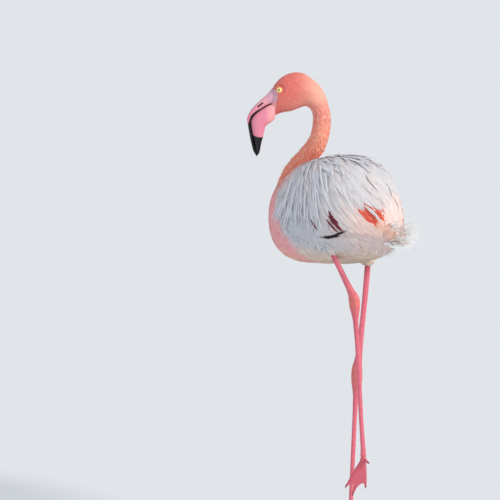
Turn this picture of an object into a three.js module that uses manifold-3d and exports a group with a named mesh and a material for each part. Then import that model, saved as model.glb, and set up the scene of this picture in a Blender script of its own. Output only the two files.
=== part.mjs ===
// Life-size greater flamingo (Phoenicopterus roseus), standing on its right leg with the left leg half
// lifted and the head turned to its left. Millimetres. +Z is up, -Y is the way the trunk faces and +X is
// the bird's left. The origin is on the floor, under the middle of the standing foot's sole.
//
// The bird is built about its own middle plane, x = 0, and moved over the foot at the end. Head, neck,
// trunk, bill, wings, tail and legs are lofts: rings of superellipses whose sizes run smoothly between a
// few stations.
import * as THREE from "three";
import Module from "manifold-3d";
import { mergeVertices } from "three/addons/utils/BufferGeometryUtils.js";

const wasm = await Module();
wasm.setup();

const V = (x, y, z) => new THREE.Vector3(x, y, z);
const REAR = V(0, 1, 0);
const UP = V(0, 0, 1);
const radians = THREE.MathUtils.degToRad;

// Driving sizes of the bird.
const SOLE = V(3, 2, 0); // middle of the standing foot's sole
const HEAD_TURN = radians(53); // the head looks this far to the left of the trunk
const EYE_PLACE = V(68, -98, 899); // on the head's middle plane, level with the eyes
const EYE_RADIUS = 9; // of the eyeball, which shows only in part
const EYE_DEPTH = 11.4; // from the head's middle plane to the middle of an eyeball
const WING_THICKNESS = 13; // depth of the trunk's pocket that a folded wing lies in
const WING_PROUD = 3; // how far a folded wing stands out of the trunk's surface
const BACK_HALF_WIDTH = 15; // of the strip of back that shows between the wings
const TOE_LENGTH = 84;
const TOE_JOINT_RADIUS = 7;
const TOE_JOINT_HEIGHT = 8; // of its middle over the sole
const WEB_THICKNESS = 1.6;
const RIGHT_TOE_SPREAD = radians(34); // between two front toes
const LEFT_TOE_SPREAD = radians(20);
const FOOT_DROOP = 58; // degrees that the lifted foot hangs below the level

const GAP = 0.35; // clearance left between two pieces that touch
const PARTING = 0.0006; // share of a loft left out where two lengths of it meet

const plumage = (colour) =>
  new THREE.MeshStandardMaterial({ color: colour, roughness: 0.85, metalness: 0 });
const horn = (colour) => new THREE.MeshStandardMaterial({ color: colour, roughness: 0.4, metalness: 0 });
const headPink = plumage(0xe88a7c);
const neckPink = plumage(0xef9d84);
const bodyWhite = plumage(0xe9dedb);
const breastPink = plumage(0xe9c4bd);
const billPink = horn(0xe58fa6);
const legPink = horn(0xd9707e);
const eyeYellow = new THREE.MeshStandardMaterial({ color: 0xe6cf6a, roughness: 0.15, metalness: 0 });

// --------------------------------------------------------------------------------------------------------
// Solids

// A closed three.js geometry as a solid that can be joined and cut.
function solidOf(geometry) {
  const bare = new THREE.BufferGeometry();
  bare.setAttribute("position", geometry.getAttribute("position"));
  if (geometry.index) bare.setIndex(geometry.index);
  const merged = mergeVertices(bare, 1e-4);
  return new wasm.Manifold(
    new wasm.Mesh({
      numProp: 3,
      vertProperties: new Float32Array(merged.getAttribute("position").array),
      triVerts: new Uint32Array(merged.index.array),
    }),
  );
}

// A solid as a named mesh.
function named(name, solid, material) {
  const { vertProperties, triVerts, numProp, numVert } = solid.getMesh();
  const positions = new Float32Array(numVert * 3);
  for (let i = 0; i < numVert; i++) {
    positions.set(vertProperties.subarray(i * numProp, i * numProp + 3), i * 3);
  }
  const geometry = new THREE.BufferGeometry();
  geometry.setAttribute("position", new THREE.BufferAttribute(positions, 3));
  geometry.setIndex(new THREE.BufferAttribute(new Uint32Array(triVerts), 1));
  geometry.computeVertexNormals();
  const mesh = new THREE.Mesh(geometry, material);
  mesh.name = name;
  return mesh;
}

// The largest body of a solid, without the slivers that a cut can leave.
function largest(solid) {
  return solid.decompose().sort((a, b) => b.volume() - a.volume())[0];
}

// --------------------------------------------------------------------------------------------------------
// Lofts
//
// A station is { top, bottom, width, square }: two opposite points of the ring, its half width across
// them, and the exponent of its superellipse. spine() joins stations into a function of t, from 0 at the
// first to 1 at the last.

const ELLIPSE = 2; // the exponent of a plain ellipse

function spine(stations) {
  const through = (pick) => new THREE.CatmullRomCurve3(stations.map(pick), false, "centripetal");
  const tops = through((station) => station.top);
  const bottoms = through((station) => station.bottom);
  // The third coordinate only spaces the stations evenly.
  const sizes = through((station, i) => V(station.width, station.square ?? ELLIPSE, 40 * i));
  const centreAt = (t) => tops.getPoint(t).add(bottoms.getPoint(t)).multiplyScalar(0.5);
  return (t) => {
    const step = 1e-3;
    const along = centreAt(Math.min(t + step, 1)).sub(centreAt(Math.max(t - step, 0))).normalize();
    const half = tops.getPoint(t).sub(bottoms.getPoint(t)).multiplyScalar(0.5);
    const height = half.length();
    const up = half.divideScalar(height);
    const size = sizes.getPoint(t);
    return {
      centre: centreAt(t),
      up,
      side: V().crossVectors(up, along).normalize(),
      along,
      height,
      width: size.x,
      square: size.y,
    };
  };
}

// The closed loft of ringAt from t = from to t = to. nose and tail push the middle of its two end caps
// outwards, and grow makes it larger all round.
function loft(ringAt, { from = 0, to = 1, rings = 16, sides = 24, nose = 0, tail = 0, grow = 0 } = {}) {
  const positions = [];
  const index = [];
  const signedPower = (value, power) => Math.sign(value) * Math.abs(value) ** power;
  for (let i = 0; i < rings; i++) {
    const ring = ringAt(from + ((to - from) * i) / (rings - 1));
    const centre = ring.centre.clone();
    if (i === 0) centre.addScaledVector(ring.along, -grow);
    if (i === rings - 1) centre.addScaledVector(ring.along, grow);
    for (let j = 0; j < sides; j++) {
      const angle = (2 * Math.PI * j) / sides;
      const point = centre
        .clone()
        .addScaledVector(ring.up, (ring.height + grow) * signedPower(Math.cos(angle), 2 / ring.square))
        .addScaledVector(ring.side, (ring.width + grow) * signedPower(Math.sin(angle), 2 / ring.square));
      positions.push(...point.toArray());
    }
    if (i === 0) continue;
    for (let j = 0; j < sides; j++) {
      const next = (j + 1) % sides;
      const [a, b] = [(i - 1) * sides + j, (i - 1) * sides + next];
      const [c, d] = [i * sides + j, i * sides + next];
      index.push(a, b, c, b, d, c);
    }
  }
  const first = ringAt(from);
  const last = ringAt(to);
  const noseTip = positions.length / 3;
  positions.push(...first.centre.clone().addScaledVector(first.along, -nose - grow).toArray());
  positions.push(...last.centre.clone().addScaledVector(last.along, tail + grow).toArray());
  const lastRing = (rings - 1) * sides;
  for (let j = 0; j < sides; j++) {
    const next = (j + 1) % sides;
    index.push(noseTip, next, j);
    index.push(noseTip + 1, lastRing + j, lastRing + next);
  }
  const geometry = new THREE.BufferGeometry();
  geometry.setAttribute("position", new THREE.BufferAttribute(new Float32Array(positions), 3));
  geometry.setIndex(index);
  const made = solidOf(geometry);
  return made.volume() > 0 ? made : solidOf(flipped(geometry));
}

// The same geometry with its faces turned round.
function flipped(geometry) {
  const index = Array.from(geometry.index.array);
  for (let i = 0; i < index.length; i += 3) {
    [index[i + 1], index[i + 2]] = [index[i + 2], index[i + 1]];
  }
  return geometry.clone().setIndex(index);
}

// Stations of a round limb: centres, radii, and the way that its upper side faces, one for all or one for
// each. A radius is a number, or a pair for the half depth along that way and the half width.
function limb(centres, radii, facing) {
  const path = new THREE.CatmullRomCurve3(centres, false, "centripetal");
  return centres.map((centre, i) => {
    const along = path.getTangent(i / (centres.length - 1));
    const faced = Array.isArray(facing) ? facing[i] : facing;
    const up = faced.clone().addScaledVector(along, -faced.dot(along)).normalize();
    const [height, width] = Array.isArray(radii[i]) ? radii[i] : [radii[i], radii[i]];
    return {
      top: centre.clone().addScaledVector(up, height),
      bottom: centre.clone().addScaledVector(up, -height),
      width,
    };
  });
}

// --------------------------------------------------------------------------------------------------------
// Head, bill and neck
//
// The head's own plane runs forward (p) and up (q) from the point between the eyes. A row of the head or
// bill is [top p, top q, bottom p, bottom q, half width, squareness].

const headForward = V(Math.sin(HEAD_TURN), -Math.cos(HEAD_TURN), 0);
const headLeft = V(Math.cos(HEAD_TURN), Math.sin(HEAD_TURN), 0);
const inHead = (p, q, s = 0) =>
  EYE_PLACE.clone().addScaledVector(headForward, p).addScaledVector(headLeft, s).add(V(0, 0, q));

const headStation = ([topP, topQ, bottomP, bottomQ, width, square]) => ({
  top: inHead(topP, topQ),
  bottom: inHead(bottomP, bottomQ),
  width,
  square,
});

const headStations = [
  [13.6, 3.5, 9.4, -52.4, 12, 2.2], // where the feathers meet the bill
  [5, 16.5, 2, -48.5, 17, 2.2],
  [-8, 27.5, -9, -45.5, 20.5, 2.1],
  [-26, 34.5, -23, -43.5, 22, 2],
  [-47, 33.5, -39, -37.5, 21.5, 2],
  [-68, 20, -52, -33, 20, 2],
  [-85, 2.5, -60, -37, 18.5, 2],
  [-97, -25, -65.5, -46, 17.5, 2],
].map(headStation);

// The neck runs down from the nape, lies back on the shoulders and turns down into the breast.
const neckCentres = [
  V(0, -47, 840),
  V(0, -55, 803),
  V(0, -92, 762),
  V(0, -139, 719),
  V(0, -158, 672),
  V(0, -134, 619),
];
const neckRadii = [18.5, 18.5, 20.5, 22.5, 26, 28];
const neckTwist = [0.8, 0.5, 0.2, 0, 0, 0]; // share of the head's turn that each place takes up
const neckFacing = neckTwist.map((share) => REAR.clone().applyAxisAngle(UP, share * HEAD_TURN));
const neckStations = limb(neckCentres, neckRadii, neckFacing);

const headAndNeck = spine([...headStations, ...neckStations]);
// Where the nape, the upper neck, the middle neck and the lower neck end.
const NECK_ENDS = [0.56, 0.7, 0.81, 1];

const eyes = [1, -1].map((side) => {
  const at = inHead(0, 0, side * EYE_DEPTH);
  const ball = (radius) => solidOf(new THREE.SphereGeometry(radius, 12, 8)).translate(...at.toArray());
  return { whole: ball(EYE_RADIUS), socket: ball(EYE_RADIUS + GAP) };
});

const head = loft(headAndNeck, { to: NECK_ENDS[0], rings: 17, sides: 22 })
  .subtract(eyes[0].socket)
  .subtract(eyes[1].socket);

// A stretch of the neck, clear of the piece before it. grow gives the groove that it lies in.
function neckLength(from, to, grow = 0) {
  return loft(headAndNeck, { from: from + PARTING, to, rings: 8, sides: 18, grow });
}
const [neckUpper, neckMiddle, neckLower] = [0, 1, 2].map((i) => neckLength(NECK_ENDS[i], NECK_ENDS[i + 1]));
const neckGroove = neckLength(NECK_ENDS[1], NECK_ENDS[2], GAP).add(
  neckLength(NECK_ENDS[2], NECK_ENDS[3], GAP),
);

// The upper bill is a thin lid, and the lower bill a deep trough, bent down half way.
const billUpper = loft(
  spine(
    [
      [14.4, 3, 13.6, -27.4, 11, 2.2],
      [24, -9.5, 24.5, -31, 10, 2.2],
      [36.4, -20.2, 35, -37.4, 9.6, 2.2],
      [48, -31, 45.4, -44.2, 9.4, 2.2],
      [58, -43.5, 53, -51, 9],
      [64.6, -58, 58.4, -60, 8.4],
      [62.8, -71, 57.6, -71.5, 7.6],
      [59.6, -90, 54.4, -90, 6.6],
      [55.6, -110, 50.4, -110, 5.2],
      [51.8, -126, 46.8, -125, 3.2],
      [47, -134, 45.2, -132.4, 1.6],
    ].map(headStation),
  ),
  { rings: 17, sides: 14, tail: 1 },
);
const billLower = loft(
  spine(
    [
      [13.4, -28.2, 10.2, -53, 12.6, 2.4],
      [24.2, -32, 14.6, -64.4, 13.4, 2.4],
      [34.4, -38.6, 21.5, -68.6, 13.4, 2.4],
      [44.4, -45.4, 27.4, -73, 13.2, 2.4],
      [51.8, -52.2, 29.4, -80, 12.8, 2.3],
      [56.8, -61, 31.4, -88.6, 11.8, 2.2],
      [56.6, -73, 33, -96, 10.4, 2.2],
      [53.6, -90, 36, -106, 8.4, 2.1],
      [49.6, -110, 37.8, -117.5, 6],
      [46, -124, 39.4, -128, 3.6],
      [44.4, -130.4, 41.6, -132, 2],
    ].map(headStation),
  ),
  { rings: 17, sides: 14, tail: 1 },
);

// --------------------------------------------------------------------------------------------------------
// Trunk, wings and tail
//
// A trunk row is [top y, top z, bottom y, bottom z, half width, squareness], from the breast to the rump.

const trunkRows = [
  [-169, 660, -164, 598, 32, 2.1],
  [-149, 700, -144, 564, 56, 2.2],
  [-114, 730, -108, 551, 82, 2.2],
  [-60, 755, -58, 549, 97, 2.2],
  [0, 769, 0, 553, 101, 2.15],
  [52, 771, 52, 558, 98, 2.1],
  [106, 755, 102, 568, 81, 2.1],
  [150, 727, 142, 580, 55, 2.05],
  [184, 694, 172, 594, 32, 2],
  [206, 662, 196, 611, 13, 2],
];
const trunkStations = (inset) =>
  trunkRows.map(([topY, topZ, bottomY, bottomZ, width, square]) => ({
    top: V(0, topY, topZ - inset),
    bottom: V(0, bottomY, bottomZ + inset),
    width: width - inset,
    square,
  }));
const trunkSpine = spine(trunkStations(0));
const trunkShape = { rings: 19, sides: 24, nose: 9, tail: 6 };
const trunkWhole = loft(trunkSpine, trunkShape);
const coreSpine = spine(trunkStations(WING_THICKNESS));
const coreShape = { rings: 12, sides: 18, nose: 4, tail: 2 };
const core = loft(coreSpine, coreShape);
const coreGrown = loft(coreSpine, { ...coreShape, grow: GAP });

// The outline of a folded wing from the side, drawn in y and z, from the shoulder along its lower edge to
// its tip. It is closed well above the back.
function wingOutline(grow) {
  const edge = new THREE.Shape();
  edge.moveTo(-92 - grow, 812);
  edge.lineTo(-92 - grow, 742);
  edge.bezierCurveTo(-66 - grow, 704, -48 - grow, 682, -44 - grow, 648);
  edge.bezierCurveTo(-40 - grow, 616 - grow, -4, 607 - grow, 46, 610 - grow);
  edge.bezierCurveTo(96, 613 - grow, 120, 634 - grow, 150, 630 - grow);
  edge.bezierCurveTo(176, 627 - grow, 196, 616 - grow, 226 + grow, 604 - grow);
  edge.lineTo(226 + grow, 812);
  edge.closePath();
  return edge;
}

// The outline as a block on one side of the middle plane, side 1 for the left wing.
function wingBlock(side, grow) {
  const inner = BACK_HALF_WIDTH - grow;
  const block = new THREE.ExtrudeGeometry(wingOutline(grow), {
    depth: 130,
    bevelEnabled: false,
    curveSegments: 8,
  });
  // The shape's own x, y and depth become the bird's y, z and x.
  block.applyMatrix4(new THREE.Matrix4().set(0, 0, 1, inner, 1, 0, 0, 0, 0, 1, 0, 0, 0, 0, 0, 1));
  const made = solidOf(block);
  return side > 0 ? made : made.mirror([1, 0, 0]);
}

const wingSurface = loft(trunkSpine, { ...trunkShape, grow: WING_PROUD });
const wings = [1, -1].map((side) => ({
  whole: largest(wingSurface.intersect(wingBlock(side, 0)).subtract(coreGrown).subtract(neckGroove)),
  pocket: wingBlock(side, GAP).subtract(core),
}));

const trunk = largest(trunkWhole.subtract(wings[0].pocket).subtract(wings[1].pocket).subtract(neckGroove));

// The short tail, with the plumes that lie over it.
const tailRows = [
  [150, 680, 150, 630, 16, 2.2],
  [184, 672, 178, 611, 25, 2.2],
  [222, 655, 218, 607, 31, 2.2],
  [258, 640, 254, 610, 29, 2.2],
  [281, 631, 279, 618, 17, 2.2],
];
const tailSpine = spine(
  tailRows.map(([topY, topZ, bottomY, bottomZ, width, square]) => ({
    top: V(0, topY, topZ),
    bottom: V(0, bottomY, bottomZ),
    width,
    square,
  })),
);
const bodyGrown = loft(trunkSpine, { ...trunkShape, grow: WING_PROUD + GAP });
const tail = largest(loft(tailSpine, { rings: 8, sides: 16, tail: 4 }).subtract(bodyGrown));

// --------------------------------------------------------------------------------------------------------
// Legs and feet
//
// Each leg runs from the feathered thigh to the joint of the toes, with its bulging ankle half way.

const ballAt = (place, radius) =>
  solidOf(new THREE.SphereGeometry(radius, 10, 8)).translate(...place.toArray());

const shankRadii = [6.4, 6, 5.8, [8.4, 7.2], [12.6, 9.2]];
const ankleRadii = [13.6, 10.4];
const tarsusRadii = [[12.2, 9.6], [6.6, 5.4], 4.8, 4.6, 5.2, 6.4];
const thighRadii = [33, 22, 9];

function leg({ thigh, shank, ankle, tarsus, toeJoint }) {
  const centres = [...shank, ankle, ...tarsus];
  const whole = spine(limb(centres, [...shankRadii, ankleRadii, ...tarsusRadii], REAR));
  const cuff = spine(limb(thigh, thighRadii, REAR));
  const cuffShape = { rings: 6, sides: 14, tail: 2 };
  const ankleAt = shank.length / (centres.length - 1);
  return {
    thigh: largest(loft(cuff, cuffShape).subtract(bodyGrown)),
    shank: largest(
      loft(whole, { to: ankleAt - PARTING, rings: 10, sides: 10 })
        .subtract(loft(cuff, { ...cuffShape, grow: GAP }))
        .subtract(bodyGrown),
    ),
    tarsus: loft(whole, { from: ankleAt + PARTING, rings: 13, sides: 10 }).subtract(
      ballAt(toeJoint, TOE_JOINT_RADIUS + GAP),
    ),
  };
}

// A foot about the joint of its toes, with the middle toe pointing along -Y. spread is the angle between
// two front toes, and droop the angle in degrees that they hang below the level. The sole is flat.
function foot(spread, droop) {
  const lengths = [0.86, 1, 0.8].map((share) => share * TOE_LENGTH);
  const angles = [-spread, 0, spread];
  const toes = lengths.map((length, i) => {
    const path = [V(0, 0, 7), V(0, -0.22 * length, 6), V(0, -0.6 * length, 4.2), V(0, 2 - length, 2.2)];
    const toe = loft(spine(limb(path, [6, 5.2, 4.4, 2.2], UP)), { rings: 5, sides: 8, tail: 2 });
    return toe.rotate([0, 0, THREE.MathUtils.radToDeg(angles[i])]);
  });
  const onToe = (i, share) => V(0, -lengths[i] * share, 0).applyAxisAngle(UP, angles[i]);
  const web = new THREE.Shape();
  web.lineTo(onToe(0, 0.9).x, onToe(0, 0.9).y);
  for (const i of [1, 2]) {
    const hollow = onToe(i - 1, 0.6).lerp(onToe(i, 0.6), 0.5);
    web.quadraticCurveTo(hollow.x, hollow.y, onToe(i, 0.9).x, onToe(i, 0.9).y);
  }
  web.closePath();
  const webSolid = solidOf(
    new THREE.ExtrudeGeometry(web, { depth: WEB_THICKNESS, bevelEnabled: false, curveSegments: 4 }),
  );
  const hindPath = [V(0, 3, 1), V(0, 12, -1), V(0, 20, -5)];
  const hindToe = loft(spine(limb(hindPath, [3.4, 3, 1.6], REAR)), { rings: 4, sides: 6, tail: 1 });
  const below = solidOf(new THREE.BoxGeometry(400, 400, 40)).translate(0, 0, -20);
  return toes
    .reduce((whole, toe) => whole.add(toe), webSolid)
    .add(ballAt(V(0, 0, TOE_JOINT_HEIGHT), TOE_JOINT_RADIUS))
    .subtract(below)
    .translate(0, 0, -TOE_JOINT_HEIGHT)
    .rotate([droop, 0, 0])
    .add(hindToe);
}

const rightToeJoint = V(2, 49, TOE_JOINT_HEIGHT);
const leftToeJoint = V(20, 116, 172);

const rightLeg = leg({
  thigh: [V(-50, 38, 610), V(-48, 41, 574), V(-45, 44, 540)],
  shank: [V(-47, 45, 568), V(-41, 44, 500), V(-32, 42.5, 420), V(-25, 41.4, 362), V(-22, 41, 345)],
  ankle: V(-21.4, 41, 330),
  tarsus: [
    V(-20.8, 41.2, 314), V(-18, 42, 288), V(-10, 45, 190), V(-3, 47, 90), V(2, 49, 32), V(2, 49, 15),
  ],
  toeJoint: rightToeJoint,
});
const leftLeg = leg({
  thigh: [V(46, 58, 632), V(58, 66, 605), V(64.5, 73, 582)],
  shank: [V(68, 52, 616), V(66, 69, 592), V(55, 91, 547), V(45.6, 108, 511), V(43.4, 112.6, 501)],
  ankle: V(42.6, 114.8, 493),
  tarsus: [
    V(42, 116, 479), V(40.6, 116.8, 454), V(33, 117.4, 360), V(27, 117, 260), V(21, 116.2, 198),
    V(20, 116, 179),
  ],
  toeJoint: leftToeJoint,
});

// The right foot stands flat and turned a little outwards; the left one hangs from its joint, toes closer
// together.
const footRight = foot(RIGHT_TOE_SPREAD, 0).rotate([0, 0, -5]).translate(...rightToeJoint.toArray());
const footLeft = foot(LEFT_TOE_SPREAD, FOOT_DROOP)
  .rotate([0, 0, -6])
  .translate(...leftToeJoint.toArray());

// --------------------------------------------------------------------------------------------------------

const pieces = [
  ["head", head, headPink],
  ["neck_upper", neckUpper, neckPink],
  ["neck_middle", neckMiddle, neckPink],
  ["neck_lower", neckLower, neckPink],
  ["bill_upper", billUpper, billPink],
  ["bill_lower", billLower, billPink],
  ["eye_left", eyes[0].whole, eyeYellow],
  ["eye_right", eyes[1].whole, eyeYellow],
  ["trunk", trunk, breastPink],
  ["wing_left", wings[0].whole, bodyWhite],
  ["wing_right", wings[1].whole, bodyWhite],
  ["tail", tail, bodyWhite],
  ["thigh_left", leftLeg.thigh, bodyWhite],
  ["thigh_right", rightLeg.thigh, bodyWhite],
  ["shank_left", leftLeg.shank, legPink],
  ["shank_right", rightLeg.shank, legPink],
  ["tarsus_left", leftLeg.tarsus, legPink],
  ["tarsus_right", rightLeg.tarsus, legPink],
  ["foot_left", footLeft, legPink],
  ["foot_right", footRight, legPink],
];

const group = new THREE.Group();
group.position.set(-SOLE.x, -SOLE.y, 0);
for (const [name, solid, material] of pieces) {
  group.add(named(name, solid, material));
}

export default group;
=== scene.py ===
import math

import bmesh
import bpy
import numpy as np
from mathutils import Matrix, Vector
from mathutils.bvhtree import BVHTree


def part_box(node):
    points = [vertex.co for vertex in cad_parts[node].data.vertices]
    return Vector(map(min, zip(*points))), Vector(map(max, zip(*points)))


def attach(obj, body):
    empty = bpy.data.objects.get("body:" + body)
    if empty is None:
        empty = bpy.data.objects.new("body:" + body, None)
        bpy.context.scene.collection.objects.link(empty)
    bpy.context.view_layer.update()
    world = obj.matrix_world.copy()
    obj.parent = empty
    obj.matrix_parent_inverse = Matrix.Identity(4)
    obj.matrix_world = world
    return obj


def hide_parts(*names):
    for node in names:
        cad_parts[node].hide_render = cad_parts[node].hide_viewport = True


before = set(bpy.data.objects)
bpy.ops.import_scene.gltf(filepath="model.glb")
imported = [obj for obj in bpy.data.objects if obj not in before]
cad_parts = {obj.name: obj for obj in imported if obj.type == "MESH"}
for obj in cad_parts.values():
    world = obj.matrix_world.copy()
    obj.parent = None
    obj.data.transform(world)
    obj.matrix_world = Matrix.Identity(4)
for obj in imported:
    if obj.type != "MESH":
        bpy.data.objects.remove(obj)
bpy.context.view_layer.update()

# ---- Skin ------------------------------------------------------------------------------------------------
# The hide is thin soft skin over the whole body, from the root of the bill to the tail and the upper legs,
# all in one piece. It lies under the feathers by their depth. It is bare only before the eyes, where it is
# greyish lilac.

MM = 0.001
MIDDLE = -3 * MM  # the plane between the left half of the trunk and the right one
FLESH = (
    "head", "neck_upper", "neck_middle", "neck_lower", "trunk", "wing_left", "wing_right", "tail",
    "thigh_left", "thigh_right",
)
SKIN_VOXEL = 2.3 * MM
SWELL = 0.6 * MM  # closes the partings between the solids

# The middle line of head and neck, from the root of the bill over the nape and down into the breast.
NECK_LINE = MM * np.array([
    (74, -107, 875), (58, -95, 890), (31, -74, 897), (7, -56, 882), (-3, -49, 840),
    (-3, -57, 803), (-3, -94, 762), (-3, -141, 719), (-3, -160, 672), (-3, -136, 619),
])
HEAD_TURN = math.radians(53)
EYE_LEVEL = MM * np.array((65, -100, 899))  # between the eyes, on the head's middle plane
HEAD_FORWARD = np.array((math.sin(HEAD_TURN), -math.cos(HEAD_TURN), 0))
HEAD_LEFT = np.array((math.cos(HEAD_TURN), math.sin(HEAD_TURN), 0))


def ease(value, low, high):
    """0 below low, 1 above high, and a smooth rise between."""
    share = np.clip((value - low) / (high - low), 0, 1)
    return share * share * (3 - 2 * share)


def bell(value, middle, width):
    """1 at the middle, falling off smoothly on both sides."""
    return np.exp(-(((value - middle) / width) ** 2))


def through(knots, count):
    """A smooth line of count points through a few knots."""
    padded = np.vstack((2 * knots[0] - knots[1], knots, 2 * knots[-1] - knots[-2]))
    places = np.linspace(0, len(knots) - 1 - 1e-9, count)
    first = places.astype(int)
    t = (places - first)[:, None]
    a, b, c, d = (padded[first + i] for i in range(4))
    return 0.5 * (2 * b + (c - a) * t + (2 * a - 5 * b + 4 * c - d) * t**2 + (3 * b - a - 3 * c + d) * t**3)


neck_line = through(NECK_LINE, 90)
neck_steps = np.linalg.norm(np.diff(neck_line, axis=0), axis=1)
neck_reach = np.concatenate(((0,), np.cumsum(neck_steps)))
neck_heading = np.gradient(neck_line, axis=0)
neck_heading /= np.linalg.norm(neck_heading, axis=1)[:, None]
AT_ONCE = 20000  # points measured together, which bounds the memory used


def along_neck(points):
    """How far down the line of head and neck each point is, how far off it, and the line's heading there."""
    nearest = np.empty(len(points), int)
    off = np.empty(len(points))
    for start in range(0, len(points), AT_ONCE):
        block = slice(start, start + AT_ONCE)
        gaps = np.linalg.norm(points[block, None] - neck_line[None], axis=2)
        nearest[block] = gaps.argmin(axis=1)
        off[block] = gaps.min(axis=1)
    return neck_reach[nearest], off, neck_heading[nearest]


def below_neck(points):
    """0 above the height where the neck leaves the trunk and 1 below it."""
    return ease(-points[:, 2], -0.8, -0.785)


def trunk_share(points):
    """0 on head and neck, 1 on the trunk, with a smooth change round the foot of the neck."""
    return ease(along_neck(points)[1], 0.026, 0.042) * below_neck(points)


def in_head(points):
    """Forward, left and up from the point between the eyes."""
    rel = points - EYE_LEVEL
    return rel @ HEAD_FORWARD, rel @ HEAD_LEFT, rel[:, 2]


def off_middle(points):
    """How far to either side of the trunk's middle plane points are."""
    return np.abs(points[:, 0] - MIDDLE)


# The folded wings' lower edge, from the shoulder back: place along the body and height.
WING_EDGE = MM * np.array([
    (-70, 640), (-40, 618), (28, 610), (74, 619), (110, 627), (131, 640), (163, 622), (198, 608), (300, 608),
])
# Where the pink of the breast meets the white of the sides: height and place along the body.
PINK_EDGE = MM * np.array([(560, -39), (600, -44), (650, -66), (700, -88), (740, -72), (765, -55)])


def below_wing(points):
    """How far below the wings' lower edge points are."""
    return np.interp(points[:, 1], WING_EDGE[:, 0], WING_EDGE[:, 1]) - points[:, 2]


def coat_depth(points):
    """How deep the feathers are over each point: least on the face, most over the wings."""
    reach, off, _ = along_neck(points)
    forward, _, up = in_head(points)
    y, z = points[:, 1], points[:, 2]
    on_neck = 0.4 + 0.4 * ease(reach, 0.09, 0.14)
    # The bare skin of the lores lies highest, and under the horn of the bill it lies deeper.
    on_neck -= 0.3 * ease(forward, 0.0, 0.004) * ease(-up, -0.004, 0.0)
    on_neck += 0.9 * ease(forward, 0.0135, 0.0165)
    over_wing = 2.2 * ease(-below_wing(points), 0.0, 0.04) * ease(y, -0.06, 0.0) * ease(-z, -0.74, -0.68)
    on_trunk = 0.4 + 0.9 * ease(y, -0.1, -0.05) + over_wing
    return MM * (on_neck + (on_trunk - on_neck) * ease(off, 0.03, 0.06) * below_neck(points))


def placed(name, data):
    """Puts a mesh, a lamp or a camera into the scene."""
    thing = bpy.data.objects.new(name, data)
    bpy.context.scene.collection.objects.link(thing)
    return thing


def one_mesh(name, nodes, swell):
    """Copies solids into one object, each a little swollen so that neighbours run into each other."""
    whole = bmesh.new()
    for node in nodes:
        part = bmesh.new()
        part.from_mesh(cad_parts[node].data)
        bmesh.ops.remove_doubles(part, verts=part.verts, dist=1e-6)
        part.normal_update()
        for vert in part.verts:
            vert.co += vert.normal * swell
        carrier = bpy.data.meshes.new(node)
        part.to_mesh(carrier)
        part.free()
        whole.from_mesh(carrier)
        bpy.data.meshes.remove(carrier)
    mesh = bpy.data.meshes.new(name)
    whole.to_mesh(mesh)
    whole.free()
    return placed(name, mesh)


def unit(ways):
    """The same ways at a length of 1."""
    return ways / np.maximum(np.linalg.norm(ways, axis=-1, keepdims=True), 1e-12)


def apply_modifiers(piece):
    """Turns a piece's modifiers into its own shape."""
    graph = bpy.context.evaluated_depsgraph_get()
    shaped = bpy.data.meshes.new_from_object(piece.evaluated_get(graph))
    piece.modifiers.clear()
    plain = piece.data
    piece.data = shaped
    bpy.data.meshes.remove(plain)
    shaped.name = piece.name


def points_of(mesh):
    """Where the points of a mesh are."""
    flat = np.empty(len(mesh.vertices) * 3)
    mesh.vertices.foreach_get("co", flat)
    return flat.reshape(-1, 3)


def normals_of(mesh):
    """The smooth normals at the points of a mesh."""
    flat = np.empty(len(mesh.vertices) * 3, np.float32)
    mesh.vertex_normals.foreach_get("vector", flat)
    return flat.reshape(-1, 3).astype(float)


def ends_of(mesh):
    """The two points of each edge of a mesh."""
    flat = np.empty(len(mesh.edges) * 2, int)
    mesh.edges.foreach_get("vertices", flat)
    return flat.reshape(-1, 2)


def set_points(mesh, points):
    """Moves the points of a mesh."""
    mesh.vertices.foreach_set("co", points.astype(np.float32).ravel())
    mesh.update()


def even_out(mesh, rounds, back=-0.57):
    """Smooths a mesh in rounds of two steps. A second step that goes back keeps its volume."""
    ends = ends_of(mesh)
    here = ends.T.ravel()
    there = ends[:, ::-1].T.ravel()
    points = points_of(mesh)
    degree = np.bincount(here, minlength=len(points))[:, None]
    for push in (0.55, back) * rounds:
        mean = np.stack([np.bincount(here, points[there, axis], len(points)) for axis in range(3)], axis=1)
        points += push * (mean / degree - points)
    set_points(mesh, points)


def fused(name, nodes, voxel, rounds, swell=SWELL):
    """One even closed skin over several solids."""
    piece = one_mesh(name, nodes, swell)
    remesh = piece.modifiers.new("skin", "REMESH")
    remesh.mode = "VOXEL"
    remesh.voxel_size = voxel
    apply_modifiers(piece)
    even_out(piece.data, rounds)
    piece.data.shade_smooth()
    return piece


def refine(mesh, middle, radius):
    """Halves the faces of a mesh within a radius of a point."""
    work = bmesh.new()
    work.from_mesh(mesh)
    middle = Vector(middle)
    near = [edge for edge in work.edges if all((middle - vert.co).length < radius for vert in edge.verts)]
    bmesh.ops.subdivide_edges(work, edges=near, cuts=1, use_grid_fill=True, smooth=1.0)
    bmesh.ops.triangulate(work, faces=[face for face in work.faces if len(face.verts) > 4])
    work.to_mesh(mesh)
    work.free()


# Each eye is a ball of 15 mm in its socket. The lids leave a round opening of 12 mm and fit the ball closely.
EYE_RADIUS = 7.5 * MM
EYE_DEPTH = 12.6 * MM
LID_OPENING = 6.0 * MM
SIDES = {"left": 1, "right": -1}
EYES = {side: EYE_LEVEL + HEAD_LEFT * EYE_DEPTH * turn for side, turn in SIDES.items()}
# The eyes look out and a little forward and up.
EYE_TILT = 0.08 * HEAD_FORWARD + np.array((0, 0, 0.2))
EYE_AXES = {side: unit(HEAD_LEFT * turn + EYE_TILT) for side, turn in SIDES.items()}


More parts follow.
